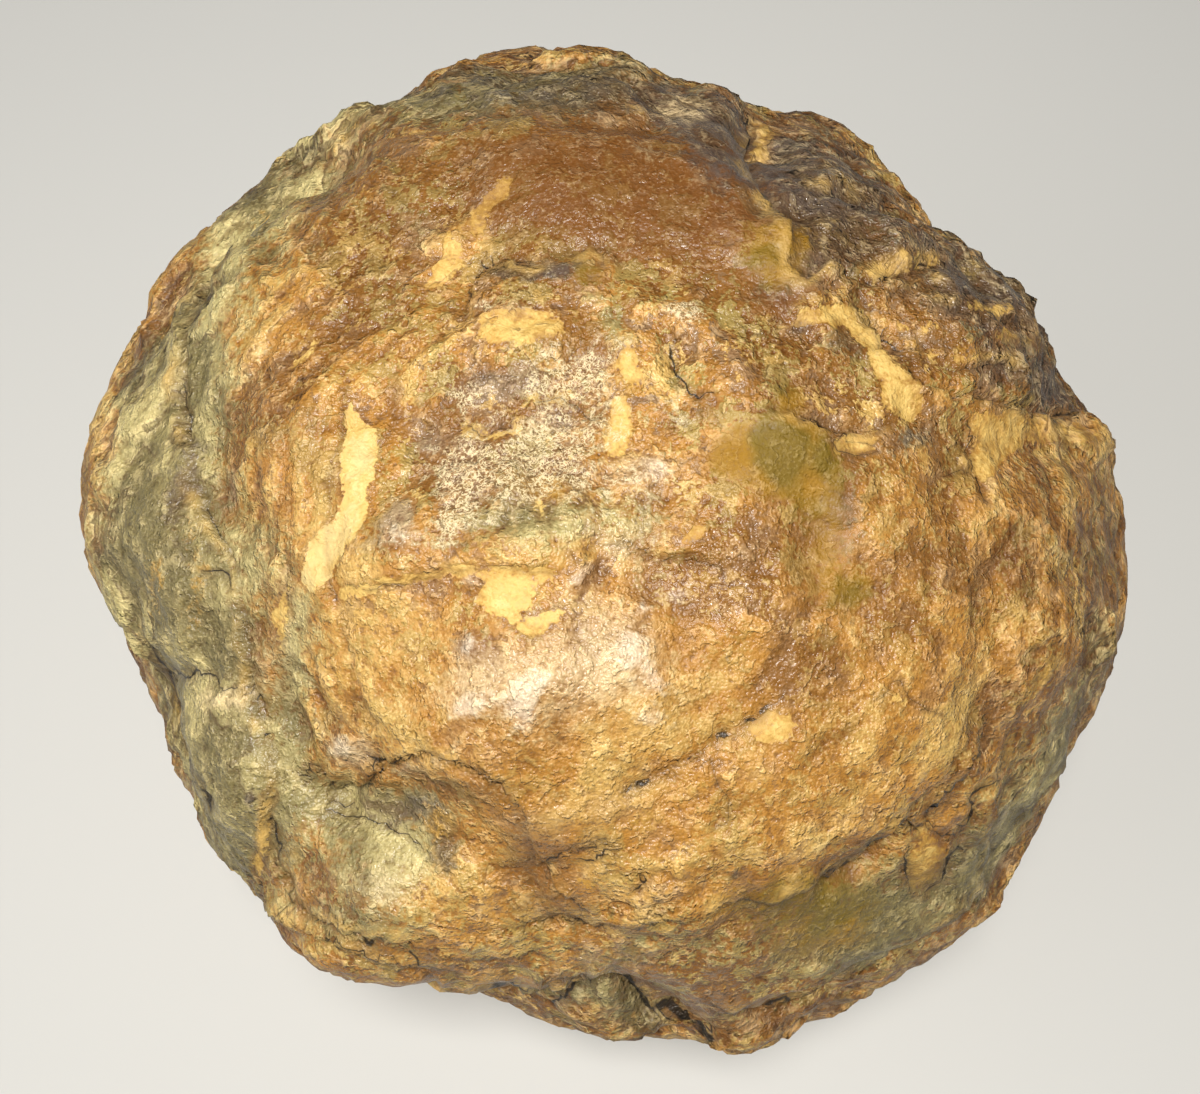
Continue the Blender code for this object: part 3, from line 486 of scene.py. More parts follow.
# Soft stains: map x and y, half width, half height, turn in degrees, strength. "patchy" says where the
# rind's colours lie in sharp patches, and "shade" is painted shade where they are darker, partly the rind's
# own darker tone; its negative rows paint light.
STAINS = {
    "yellow": (
        (-43.3, 24.2, 1.3, 3.6, -25, 0.9), (-34, 33.7, 1.6, 1.6, 0, 0.8), (-26, 42, 7, 2, 22, 0.7),
        (-15.4, -16, 1.1, 1.5, 20, 0.9), (-25.2, -13.2, 1.6, 1.2, 0, 0.7),
        (-17, -27.5, 2.6, 1.2, -20, 0.8), (-0.8, -33, 1.2, 0.7, 0, 1.0), (2.2, 11, 1.4, 3.6, 8, 0.9),
        (3.3, 16.4, 1.6, 1.6, 0, 0.9), (-4.7, 6.3, 2, 1.2, 20, 0.8), (-34.5, 3.8, 1.6, 1.3, 0, 0.7),
        (9.5, -23, 2.2, 1.2, 30, 0.7), (3.4, -26.6, 2.2, 1.6, 20, 0.6), (-41, -3, 1.2, 5, -4, 0.7),
        (-45, -3, 1.2, 4, 0, 0.5), (47.5, -2, 1.2, 6, 0, 0.6), (44, -12, 1.1, 5, -12, 0.6),
        (-45.8, -11, 1.2, 4, 8, 0.6), (5.5, -36.4, 3, 1.6, 0, 0.7), (12.3, -43.6, 1.6, 1.4, 0, 0.6),
        (32, 21, 1.2, 1.8, 30, 0.6), (36.4, 20.2, 1.4, 1, 0, 0.6), (-1, -46.8, 8, 1.6, 0, 0.6),
        (24, -45, 6, 1.4, 22, 0.6),
    ),
    "olive": (
        (18.2, 9.4, 4.4, 3.2, -8, 1.9), (12.4, 9.6, 2.8, 1.8, 0, 0.7), (17.2, 30, 3.6, 2.8, -40, 1.1),
        (19, 16, 2, 2.2, 0, 0.8), (23, 0.5, 2.6, 7, 8, 0.8), (26.4, -3.8, 2.2, 1.6, 20, 0.8),
        (-6, 6.6, 2, 1.2, 0, 0.7), (-1, 27.6, 2.2, 1.4, 0, 0.7), (-8, 6.8, 4.6, 1.0, 0, 1.0),
        (-12.5, 1, 5, 1.6, 0, 0.6), (18, -34, 9, 3, 20, 0.8), (24, -37.5, 7, 3, 24, 0.7),
        (-44, -16, 2, 6, 5, 0.7), (-12, -8.4, 4, 1.4, 0, 0.5), (8, -8, 2.5, 8, 20, 0.35),
    ),
    "grey": (
        (-44.5, 4, 4.5, 14, -6, 1.2), (-40.5, -10, 5, 12, 4, 1.2), (-37, -25, 4.5, 9, 14, 1.1),
        (-41, 17, 3.5, 8, -22, 0.9), (-35, 33, 5, 7, -48, 0.8), (-7.5, 3.5, 9, 3.4, 0, 0.8),
        (-22, -31, 5, 4.6, 0, 1.0), (-23.5, -25.5, 7, 2.4, -14, 1.1), (-30.5, -13, 1.8, 9, -4, 0.8),
        (-10, 46.5, 16, 2.6, 4, 0.9), (5, 3.4, 5, 2.4, 0, 0.3), (0.5, -3.5, 4, 4, 0, 0.1),
        (29, -37, 8, 4, 24, 0.6), (40, -31, 3, 6, -20, 0.7), (-24, -38, 7, 2, -12, 0.5),
        (2, -44.8, 8, 1.6, -20, 0.7), (1, 22.5, 1.6, 4, 28, 0.6), (-34, -1, 2, 4, 0, 0.4),
        (3.5, -40, 7, 2, 0, 0.6), (23, -37, 9, 3.6, 24, 0.6), (46, -20, 2.6, 7, -25, 0.5),
        (-18, 33, 5, 6, 30, 0.35),
    ),
    # Dark stains; the rows in the hollow at the lower left, near x -29 to -15 and y -30 to -24, are painted
    # shade.
    "dark": (
        (22, 34, 5.5, 8, -35, 1.2), (38.5, 25.5, 12, 4.0, -30, 1.3), (43.5, 17, 7, 2.2, -8, 0.8),
        (17.5, 39.2, 2.6, 1.2, 0, 1.2), (0, 46, 22, 3.0, -4, 0.9), (11.5, 38.5, 4, 2.2, -30, 0.8),
        (10, 43, 8, 2, -20, 0.6), (23.5, 2, 3, 7, 12, 0.6), (25.2, 20.2, 2, 1.6, -30, 1.0),
        (20.6, 23.2, 1.6, 0.8, 0, 1.0), (-41.5, 6.5, 1.6, 6.5, -10, 1.0), (-9, 28, 3.2, 1.1, 4, 1.3),
        (-4, 28.3, 2, 0.9, 0, 1.2), (-20.5, -25.4, 4.2, 1.2, -24, 1.0), (-15.6, -29.6, 1.2, 3.2, 25, 0.9),
        (-21.5, -27, 4, 1.4, -30, 0.5), (-29, -24.5, 2, 0.8, 0, 0.6), (31, 10.8, 3, 1.6, 20, 0.8),
        (-11.5, 17.7, 1.8, 1.2, 0, 0.9), (-17.5, 11.5, 2.4, 2.6, 0, 0.5), (13.6, -32.3, 0.5, 0.7, 0, 1.0),
        (19.3, -17.3, 0.8, 0.8, 0, 0.8), (-35.4, -24.4, 0.6, 0.9, 0, 1.2), (-30, 17, 1.2, 0.4, 0, 1.1),
        (24, 5, 2.4, 3, 0, 0.5), (-33.3, -32, 0.8, 1, 0, 1.0), (12, -8, 2, 9, 12, 0.3),
    ),
    "red": (
        (2, 36.5, 17, 7.5, -8, 1.35), (13.6, 37.8, 2.4, 3.6, 35, 1.5), (18.5, 25.8, 3.4, 1.3, 15, 1.0),
        (44.2, 14.4, 1, 0.6, 0, 1.4), (23, 2, 3, 3.4, 0, 0.6), (-30, 14, 7, 9, 15, 0.5),
        (1, -28, 8, 5, 20, 0.6), (-7, -30, 3, 6, 30, 0.7), (-4, -36, 8, 2, 0, 0.5),
        (-29.6, -28.5, 3, 2, 0, 0.5), (0, 20.2, 1.4, 2.4, -20, 0.9), (-31.5, -31.5, 2, 5, 25, 0.6),
        (-14, -20, 3, 2, 0, 0.4), (44, 4, 4, 5, 0, 0.6), (29, 27, 3, 3, 0, 0.3),
        (-20.6, -6, 3, 1.6, 0, 0.4), (10, 26, 4, 3, 0, 0.3),
    ),
    # Pale spots: partly the rind's pale tone, partly painted light, the sheen on the dome below the middle
    # and lifts in the hollow at the lower left, on the left flank and in the middle.
    "pale": (
        (-5, -12.5, 9, 6.5, 15, 0.75), (2.5, -10, 5, 5, 0, 0.6), (-13, -13, 5, 3, 0, 0.5),
        (-24.8, -19.9, 2.2, 1.2, 0, 1.0), (4, 7.5, 4.5, 2.4, -10, 0.8), (-8, 24, 4, 1, 5, 0.8),
        (-21.5, -33.5, 3.6, 3, 0, 0.7), (5.4, -36, 3, 1.4, 0, 0.6), (-19, 1.4, 3, 4, 0, 0.5),
        (-33, 16, 3, 6, 20, 0.4), (26, -8, 8, 10, -20, 0.25), (-37.4, -15, 2, 1.2, 0, 0.8),
        (4.6, 39.5, 4, 2, 0, 0.4), (8, 44.2, 3, 1.6, -20, 0.8), (-28, 42.3, 4, 1.4, 22, 0.5),
        (-19, -23, 7, 3.6, -10, 0.35), (-33, -12, 4, 6, 0, 0.5), (3, 1, 4, 2.6, 0, 0.6),
    ),
    "crust": (
        (-13.8, 16.0, 1.8, 1.3, 30, 1.2), (-1.6, 17.8, 3.1, 2.9, 10, 1.25),
        (-6.4, 17.8, 2.4, 1.8, 0, 0.7), (-12.6, 10.2, 3.3, 2.4, 0, 1.0), (-4.6, 10.4, 4.6, 2.8, 0, 1.15),
        (-5.8, 9.6, 1.8, 1.8, 0, 0.5), (-0.6, 12.4, 1.4, 1.6, 0, 0.8), (-15.2, 3.3, 1.8, 2.4, 0, 1.0),
        (-11.6, 3.6, 2.4, 1.4, 0, 0.6), (0.8, 6.8, 0.9, 0.9, 0, 1.3), (3.5, 7.2, 1.1, 0.6, 0, 1.2),
        (7.1, 13.4, 2.8, 1.6, 10, 0.7), (-9.0, 7.0, 5.0, 1.8, 0, 0.9), (-14.5, 6.0, 2.4, 2.4, 0, 0.7),
        (8.0, 23.4, 1.4, 1.0, 0, 1.0), (-11.7, 24.1, 1.0, 0.9, 0, 0.8), (11.2, 18.8, 1.0, 1.4, 0, 0.7),
    ),
    "painted_glint": PILLOWS,
    "patchy": (
        (-8, 12, 12, 10, 0, 0.9), (38, 22, 12, 7, -28, 0.9), (22, 33, 8, 9, -35, 0.7),
        (2, 37, 18, 6, -8, 0.5), (24, 13, 9, 4, 20, 0.7), (8, 20, 6, 7, 20, 0.8), (-8, -7, 9, 3, 0, 0.5),
        (0, 46, 24, 3, 0, 0.6), (30, -38, 12, 6, 24, 0.4), (-2, -42, 22, 6, 0, 0.6),
        (-30, -31, 5, 8, 20, 0.5), (-4, -14, 14, 9, 15, -0.5), (26, -12, 12, 12, -20, -0.3),
    ),
    # Violet-grey films; on the face they are partly a painted sheen, the pinkish reflection of the light on
    # smooth brown rind.
    "violet_film_and_sheen": (
        (-17.4, 12.0, 2.6, 2.8, 0, 1.1), (-7.4, 17.6, 1.6, 1.6, 0, 0.9), (-10.8, 16.4, 2.0, 1.4, 0, 0.9),
        (-3.6, 13.2, 2.8, 0.9, 0, 0.8), (1.2, 14.6, 1.6, 1.0, 0, 0.7), (-1.4, 2.6, 3.4, 1.6, 0, 1.0),
        (-14.5, -9.8, 2.4, 2.2, 0, 0.8), (-8.6, -7.0, 3.0, 1.4, 20, 0.7), (-2.2, -5.8, 2.4, 1.4, 0, 0.9),
        (-20.0, 2.6, 2.0, 3.4, -20, 0.9), (21.5, 34.5, 5.0, 6.0, -35, 1.0),
        (39.0, 26.0, 9.0, 2.6, -30, 0.9), (18.0, 15.5, 3.0, 1.4, 0, 0.6), (2.5, 0.5, 3.6, 1.6, 0, 0.6),
        (28.0, -40.0, 6.0, 2.2, 24, 0.6), (-19.0, -22.6, 3.4, 1.0, -10, 0.6),
        (25.8, 3.6, 2.2, 4.0, 0, 0.5), (12.0, -10.5, 1.6, 3.0, 0, 0.5), (6.0, 19.6, 1.0, 3.2, 28, 0.6),
        (-37.5, 5.0, 1.4, 7.0, -8, 0.7),
    ),
    "shade": (
        (2, 38, 19, 9, -5, 0.65), (48, 0, 6, 22, 0, 0.25), (32, 30, 14, 10, -35, 0.2),
        (24, -38, 14, 5, 22, 0.4), (-2, -45, 20, 4, 0, 0.65), (0, 47, 26, 4, 0, 0.3),
        (-37, 27, 8, 12, -40, 0.1), (-6, -13, 12, 9, 15, -0.1), (-21.5, -33, 6, 5, 0, 0.1),
        (-29, 10, 8, 14, 10, -0.3), (2, -2, 8, 3, 0, -0.2), (2, -28, 12, 5, 10, -0.25),
        (32, -12, 8, 10, 0, -0.15), (-8, 13, 9, 8, 0, 0.35), (-42, 5, 5, 15, 0, 0.3),
        (-41, -20, 4, 9, 10, 0.25), (27, 9, 6, 12, 0, 0.35), (15, 13, 5, 7, 0, 0.2),
        (15, 31, 6, 5, 0, 0.25), (-19, -22, 9, 6, -10, -0.15), (-36, -12, 6, 10, 0, -0.3),
        (3, 1, 5, 4, 0, -0.35), (-10, -28, 7, 5, 0, -0.1), (-2, 26, 8, 3, 0, 0.15),
    ),
    "brown": (
        (-7.0, 13.8, 9, 1.6, 0, 0.6), (-16.5, 12.5, 3, 4, 0, 0.5), (-1.8, 21.0, 3.0, 2.4, -30, 1.1),
        (-9, 18.6, 5, 1.2, 0, 0.7), (-20.6, 14.5, 0.6, 3.4, -10, 1.0), (11.0, 15.0, 2.0, 2.6, 20, 0.9),
        (24, 12.4, 4, 1.2, 0, 0.8), (23, -3, 2.5, 6, 10, 0.7), (-7, -8, 4, 1.2, 0, 0.6),
        (6, -14, 2, 3, 0, 0.3), (-13, -24, 5, 2, -30, 0.7),
    ),
}
BAND_BRIGHTNESS = 0.6
# Where the face is as fibrous as the flanks: map x and y, half width, half height, turn, strength
FIBROUS = ((44, -6, 6, 16, -5, 0.7), (40, 6, 5, 6, 0, 0.4), (-33, 4, 3, 12, 5, 0.4))
CHIP_REACH = 6.0  # beyond this distance from a chip its outline doesn't matter


def inside_distance(points):
    """Distance to a closed outline on the map, positive inside it, for the vertices near it."""
    corners = np.array(points)
    low, high = corners.min(axis=0) - CHIP_REACH, corners.max(axis=0) + CHIP_REACH
    near = np.flatnonzero(((place > low) & (place < high)).all(axis=1) & (shown > 0))
    here = place[near]
    closest = np.full(len(near), np.inf)
    crossings = np.zeros(len(near), dtype=int)
    for first, second in zip(corners, np.roll(corners, -1, axis=0)):
        edge = second - first
        share = np.clip(((here - first) @ edge) / (edge @ edge), 0, 1)
        closest = np.minimum(closest, np.linalg.norm(here - first - share[:, None] * edge, axis=1))
        spans = (first[1] > here[:, 1]) != (second[1] > here[:, 1])
        meet = first[0] + (here[:, 1] - first[1]) * edge[0] / (edge[1] or 1e-9)
        crossings += spans & (here[:, 0] < meet)
    return near, np.where(crossings % 2 == 1, closest, -closest)


chips = np.full(count, -CHIP_REACH)
chip_brightness = np.zeros(count)
for brightness, points in OCHRE_CHIPS:
    near, depth_inside = inside_distance(points)
    nearer = depth_inside > chips[near]
    chips[near[nearer]] = depth_inside[nearer]
    chip_brightness[near[nearer]] = brightness
for half_width, points in OCHRE_BANDS:
    near, gap, fade = near_line(points, CHIP_REACH, 1.0)
    depth_inside = half_width * fade - np.abs(gap)
    nearer = depth_inside > chips[near]
    chips[near[nearer]] = depth_inside[nearer]
    chip_brightness[near[nearer]] = BAND_BRIGHTNESS
paint("chips", np.where(shown > 0.5, chips, -CHIP_REACH))
paint("chip_brightness", chip_brightness)
for name, rows in STAINS.items():
    paint(name, np.clip(spots_at(rows), -1, 1.6))
paint("flank", np.clip(flank + spots_at(FIBROUS), 0, 1))


def mottled(size, shift, octaves, fall, spread):
    """Cloudy noise about 0.5 at each vertex, size millimetres from spot to spot."""
    total = np.zeros(count)
    for octave in range(octaves):
        total += fall**octave * noise_at(start / MM, 2**octave / size, shift)
    return 0.5 + spread * total / total.std()


# The clouds of colour, each with its spots' size, shift, octaves, fall and spread
CLOUDS = {
    "broad": (18, (1, 5, 2), 3, 0.55, 0.075),
    "cloud": (7, (40, 0, 0), 4, 0.64, 0.0625),
    "film": (8, (0, 60, 20), 4, 0.66, 0.0615),
    "peel": (3.6, (31, 7, 9), 2, 0.74, 0.0454),
    "second_peel": (2.6, (9, 51, 5), 2, 0.74, 0.0454),
    "blotch": (2.6, (0, 40, 0), 2, 0.68, 0.0565),
}
for name, settings in CLOUDS.items():
    paint(name, mottled(*settings))


# The rind's surface: iron-stained silica with a waxy sheen, orange brown under ochre, olive, grey
# and dark stains. Its pits, cracks and the feet of its lips and flakes are darkened with painted shade,
# and the crests of its wrinkles are pale, partly worn and partly a painted highlight.
class Wire:
    """A socket of a material, which can be added, multiplied and so on like a number."""

    def __init__(self, material, socket):
        self.material = material
        self.socket = socket

    def with_other(self, operation, first, second):
        return self.material.node("Math", {"operation": operation}, {0: first, 1: second})

    def __add__(self, other):
        return self.with_other("ADD", self, other)

    def __abs__(self):
        return self.material.node("Math", {"operation": "ABSOLUTE"}, {0: self})

    def __sub__(self, other):
        return self.with_other("SUBTRACT", self, other)

    def __rsub__(self, other):
        return self.with_other("SUBTRACT", other, self)

    def __mul__(self, other):
        return self.with_other("MULTIPLY", self, other)

    __radd__ = __add__


class Material:
    """A material with one method that adds any node, and short names for the ones used most."""

    def __init__(self, name):
        self.data = bpy.data.materials.new(name)
        self.data.use_nodes = True
        self.tree = self.data.node_tree
        self.shader = self.tree.nodes["Principled BSDF"]

    def node(self, kind, settings=None, inputs=None, output=0):
        new = self.tree.nodes.new("ShaderNode" + kind)
        for name, value in (settings or {}).items():
            setattr(new, name, value)
        for name, value in (inputs or {}).items():
            self.feed(new.inputs[name], value)
        return Wire(self, new.outputs[output])

    def feed(self, socket, value):
        if isinstance(value, Wire):
            self.tree.links.new(value.socket, socket)
        else:
            socket.default_value = value

    def painted(self, name):
        return self.node("Attribute", {"attribute_name": name}, output="Fac")

    def between(self, low, high, value):
        """0 below low, 1 above high, with an eased slope between them."""
        settings = {"interpolation_type": "SMOOTHSTEP"}
        return self.node("MapRange", settings, {"Value": value, "From Min": low, "From Max": high})

    def mottle(self, places, size, detail=3.0, rough=0.55, twist=0.0):
        """Cloudy noise from 0 to 1, about size millimetres from spot to spot."""
        inputs = {"Vector": places, "Scale": 1 / size}
        inputs |= {"Detail": detail, "Roughness": rough, "Distortion": twist}
        return self.node("TexNoise", None, inputs)

    def mixed(self, share, first, second, blend="MIX"):
        settings = {"data_type": "RGBA", "blend_type": blend}
        return self.node("Mix", settings, {0: share, 6: first, 7: second}, output=2)

    def shifted(self, places, amount):
        return self.node("VectorMath", {"operation": "ADD"}, {0: places, 1: amount})

    def stretched(self, places, amount):
        return self.node("VectorMath", {"operation": "MULTIPLY"}, {0: places, 1: amount})


RUST_BROWN = (0.225, 0.098, 0.018, 1)
ORANGE_BROWN = (0.41, 0.193, 0.034, 1)
TAN = (0.61, 0.39, 0.115, 1)
PALE_TONE_AND_LIGHT = (0.66, 0.50, 0.28, 1)
PAINTED_GLINT_WHITE = (0.82, 0.72, 0.58, 1)
FILM_OLIVE = (0.36, 0.28, 0.085, 1)
VIOLET_FILM_AND_SHEEN = (0.30, 0.21, 0.13, 1)
RED_RUST = (0.15, 0.055, 0.011, 1)
OCHRE = (0.66, 0.44, 0.125, 1)
PALE_OCHRE = (0.70, 0.525, 0.215, 1)
DEEP_OCHRE = (0.46, 0.255, 0.042, 1)
OLIVE = (0.155, 0.098, 0.002, 1)
AMBER = (0.28, 0.142, 0.004, 1)
GREY_OLIVE = (0.18, 0.155, 0.064, 1)
PALE_OLIVE = (0.45, 0.39, 0.17, 1)
SLATE = (0.085, 0.066, 0.057, 1)
DARK_BROWN = (0.080, 0.042, 0.016, 1)
CREAM = (0.80, 0.65, 0.37, 1)
PALE_CRUST = (0.72, 0.59, 0.35, 1)
GAP_SHADOW = (0.012, 0.008, 0.004, 1)
PIT_SHADE_AND_SEAM_FACTOR = (0.46, 0.37, 0.27, 1)  # what a colour is multiplied by in its pits, a painted shade, and along the flanks' dark seams
WORN_AND_LIT_FACTOR = (1.75, 1.7, 1.55, 1)  # and on its crests, lips and fibres, a painted highlight with wear

# The sizes of the rind's finest marks, in millimetres, and how high the finest relief stands
SPECK, SAND, WRINKLE, STREAK, THREAD, SCALE, CURL, SECOND_CURL = 0.8, 0.3, 1.5, 1.7, 0.62, 1.6, 0.5, 0.42
RUN_STRETCH = (0.3, 0.3, 0.3)  # streaks and threads run along the grain
FINE_RELIEF = 0.42 * MM

rind = Material("weathered_rind")
places = rind.stretched(rind.node("TexCoord", output="Object"), (1000, 1000, 1000))
rise_up = rind.node("CombineXYZ", None, {"Z": rind.painted("grain") * 0.5})
run_long = rind.node("VectorMath", {"operation": "MULTIPLY_ADD"},
                     {0: places, 1: RUN_STRETCH, 2: rise_up})
speck = rind.mottle(rind.shifted(places, (0, 0, 40)), SPECK, 2, 0.72)
sand = rind.mottle(rind.shifted(places, (15, 0, 40)), SAND, 1, 0.7)
wrinkle = rind.mottle(rind.shifted(places, (7, 7, 7)), WRINKLE, 3, 0.68)
streak = rind.mottle(run_long, STREAK, 3, 0.7)
thread = rind.mottle(rind.shifted(run_long, (5, 0, 3)), THREAD, 2, 0.7)
broad = rind.painted("broad")
cloud = rind.painted("cloud")
film = rind.painted("film")
fraying = (speck - 0.5) * 0.4 + (sand - 0.5) * 0.12
peel = rind.painted("peel") + fraying
second_peel = rind.painted("second_peel") + fraying
blotch = rind.painted("blotch")
height = rind.painted("height")
rough_wire = rind.painted("rough")
flank_wire = rind.painted("flank")
tatter = (blotch - 0.5) * 1.7 + (speck - 0.5) * 1.6 + (sand - 0.5) * 0.4

# The tone is lifted on the relief's crests and lowered in its hollows, a painted light and shade, and lowered
# by the painted shade of "shade".
tone = ((cloud - 0.5) * 1.9 + (blotch - 0.5) * 1.3 + (wrinkle - 0.5) * 0.8 + height * 0.2
        + rind.painted("flake_tone") * 0.6 + flank_wire * (streak - 0.5) * 2.6 - rind.painted("shade"))
colour = rind.mixed(rind.between(-0.5, 0.1, tone), RUST_BROWN, ORANGE_BROWN)
colour = rind.mixed(rind.between(0.05, 0.65, tone) * 0.75, colour, TAN)
patchy = rind.painted("patchy") * 0.5 + 0.4
colour = rind.mixed(rind.between(0.51, 0.55, peel) * patchy, colour, FILM_OLIVE)
colour = rind.mixed(rind.between(0.45, 0.41, second_peel) * patchy, colour, RUST_BROWN)
# Violet-grey film, partly a painted sheen of the light on smooth brown rind.
violet_and_sheen_amount = rind.painted("violet_film_and_sheen") + (0.5 - film) * 2.2 + tatter * 0.5
violet_film_and_sheen = rind.between(0.4, 0.95, violet_and_sheen_amount) * 0.8 + rind.between(0.45, 0.42, peel) * patchy * 0.6
colour = rind.mixed(violet_film_and_sheen, colour, VIOLET_FILM_AND_SHEEN)
colour = rind.mixed(rind.between(0.55, 0.59, second_peel) * patchy, colour, TAN)
redness = rind.painted("red") + tatter * 0.7
colour = rind.mixed(rind.between(0.3, 1.2, redness) * 0.85, colour, RED_RUST)
greyness = rind.painted("grey") + flank_wire * (broad * 1.8 - 0.75) + tatter * 0.7
grey = rind.mixed(rind.between(-0.4, 0.4, tone), GREY_OLIVE, PALE_OLIVE)
colour = rind.mixed(rind.between(0.2, 0.9, greyness) * 0.9, colour, grey)
brownness = rind.painted("brown") + tatter * 0.7
colour = rind.mixed(rind.between(0.35, 0.9, brownness) * 0.8, colour, RUST_BROWN)
# Dark stains, with painted shade in the hollow at the lower left.
darkness = rind.painted("dark") + tatter * 0.9
dark = rind.mixed(rind.between(0.4, 0.6, cloud), SLATE, DARK_BROWN)
colour = rind.mixed(rind.between(0.35, 1.1, darkness) * 0.85, colour, dark)
oliveness = rind.painted("olive") + tatter * 0.45
olive = rind.mixed(rind.between(0.44, 0.56, cloud), OLIVE, AMBER)
colour = rind.mixed(rind.between(0.35, 0.95, oliveness) * 0.93, colour, olive)
yellowness = rind.painted("yellow") + tatter * 0.9 + flank_wire * (wrinkle * 1.5 - 0.95)
colour = rind.mixed(rind.between(0.35, 0.95, yellowness) * 0.85, colour, DEEP_OCHRE)
# Pale spots, partly the rind's pale tone and partly painted sheen and light.
pale_and_lit_amount = rind.painted("pale") + tatter * 0.7
colour = rind.mixed(rind.between(0.25, 1.3, pale_and_lit_amount) * 0.8, colour, PALE_TONE_AND_LIGHT)

# Painted highlight: whitish glints on the waxy pillows of the face.
glint_share = rind.between(0.35, 1.1, rind.painted("painted_glint") + tatter * 0.8)
colour = rind.mixed(glint_share * 0.4, colour, PAINTED_GLINT_WHITE)

chip_depth = rind.painted("chips") + tatter * 0.5 + (peel - 0.5) * 1.6
chip = rind.between(-0.10, 0.20, chip_depth)
brightness = (rind.painted("chip_brightness") + (cloud - 0.5) * 0.9 + (second_peel - 0.5) * 1.3
              + rind.between(0.0, 1.6, chip_depth) * 0.25 - 0.16)
ochre = rind.mixed(rind.between(0.3, 0.7, brightness), DEEP_OCHRE, OCHRE)
ochre = rind.mixed(rind.between(0.7, 1.1, brightness), ochre, PALE_OCHRE)
chip_rim = rind.between(-0.7, -0.15, chip_depth) * rind.between(0.1, -0.1, chip_depth)
colour = rind.mixed(chip_rim * 0.35, colour, RUST_BROWN)
colour = rind.mixed(chip * rind.between(-0.1, 0.6, brightness) * 0.9, colour, ochre)

calm = 1 - rind.between(0.3, 1.0, rind.painted("red") * 0.8 + rind.painted("olive")) * 0.4
grain_here = (1 - chip * 0.6) * calm
# Painted shade in the rind's pits and low relief; a painted highlight, with wear, on its crests.
pit_shade_and_dark_seam = rind.mixed(1.0, colour, PIT_SHADE_AND_SEAM_FACTOR, "MULTIPLY")
pit_shade = (rind.between(0.46, 0.30, sand) * 0.3 + rind.between(0.44, 0.32, speck) * 0.35
        + rind.between(0.44, 0.30, wrinkle) * rough_wire * 0.5
        + rind.between(0.0, -0.8, height) * 0.4) * grain_here
worn_and_lit = rind.mixed(0.4, rind.mixed(1.0, colour, WORN_AND_LIT_FACTOR, "MULTIPLY"), CREAM)
lit_worn_crests = (rind.between(0.55, 0.68, sand) * rind.between(0.38, 0.58, blotch) * 0.45
          + rind.between(0.56, 0.68, wrinkle) * rough_wire * 0.45) * grain_here
colour = rind.mixed(pit_shade, colour, pit_shade_and_dark_seam)
colour = rind.mixed(lit_worn_crests * 0.85, colour, worn_and_lit)
# Small scales: a painted shadow at the foot of each scale's edge, and a pale lip along its top, worn and
# painted light.
scale_waves = rind.mottle(rind.shifted(places, (21, 4, 17)), SCALE, 1, 0.5, 0.5)
scale_off = scale_waves - 0.5 + (speck - 0.5) * 0.45
scale_open = rind.between(0.47, 0.56, wrinkle) * grain_here
scale_lip_wear_and_light = rind.between(0.09, 0.02, scale_off) * rind.between(-0.01, 0.012, scale_off) * scale_open
scale_foot_shadow = rind.between(-0.09, -0.01, scale_off) * rind.between(0.012, -0.006, scale_off) * scale_open
colour = rind.mixed(scale_foot_shadow * 0.35, colour, pit_shade_and_dark_seam)
colour = rind.mixed(scale_lip_wear_and_light * 0.4, colour, worn_and_lit)
fibres = rind.between(0.54, 0.66, thread) * flank_wire
seams = (rind.between(0.48, 0.36, thread) * 0.7 + rind.between(0.44, 0.34, streak) * 0.7) * flank_wire
colour = rind.mixed(fibres * 0.55, colour, worn_and_lit)
colour = rind.mixed(seams, colour, pit_shade_and_dark_seam)
edge_wear = rind.painted("lip_edge") * rind.between(0.42, 0.62, blotch)
colour = rind.mixed(edge_wear * 0.7, colour, TAN)

# Flake borders: a painted shadow at the foot of each, and a pale lip on its top, worn and painted light.
flake_off = rind.painted("flake_side") + (speck - 0.5) * 0.35
flake_high = rind.between(0.08, 0.42, rind.painted("flake_drop"))
flake_lip_wear_and_light = rind.between(0.45, 0.1, flake_off) * rind.between(-0.05, 0.05, flake_off) * flake_high
flake_foot_shadow = rind.between(-0.4, -0.02, flake_off) * rind.between(0.1, 0.0, flake_off) * flake_high
colour = rind.mixed(flake_foot_shadow * 0.6, colour, DARK_BROWN)
colour = rind.mixed(flake_lip_wear_and_light * rind.between(0.4, 0.6, blotch) * 0.6, colour, worn_and_lit)

curl = rind.mottle(rind.shifted(places, (3, 9, 5)), CURL, 2, 0.6, 0.8)
second_curl = rind.mottle(rind.shifted(places, (13, 2, 8)), SECOND_CURL, 1.5, 0.5, 0.6)
crust_here = rind.painted("crust") * 0.8 + (blotch - 0.5) * 3.0 + (speck - 0.5) * 2.2
crusty = rind.between(0.2, 0.8, crust_here) * rind.between(0.1, 0.5, rind.painted("crust"))
curls = rind.between(0.06, 0.0, abs(curl - 0.5)) + rind.between(0.07, 0.0, abs(second_curl - 0.54))
flakes = (rind.between(0.3, 0.95, curls) * rind.between(0.35, 0.85, crust_here)
          * rind.between(0.05, 0.3, rind.painted("crust")))
# A painted shadow in the dark brown gap beside each crust flake.
crust_flake_shadow = rind.between(0.48, 0.36, curl) * crusty
colour = rind.mixed(crusty * 0.3, colour, VIOLET_FILM_AND_SHEEN)
colour = rind.mixed(crust_flake_shadow * 0.5, colour, DARK_BROWN)
colour = rind.mixed(flakes * 0.85, colour, PALE_CRUST)

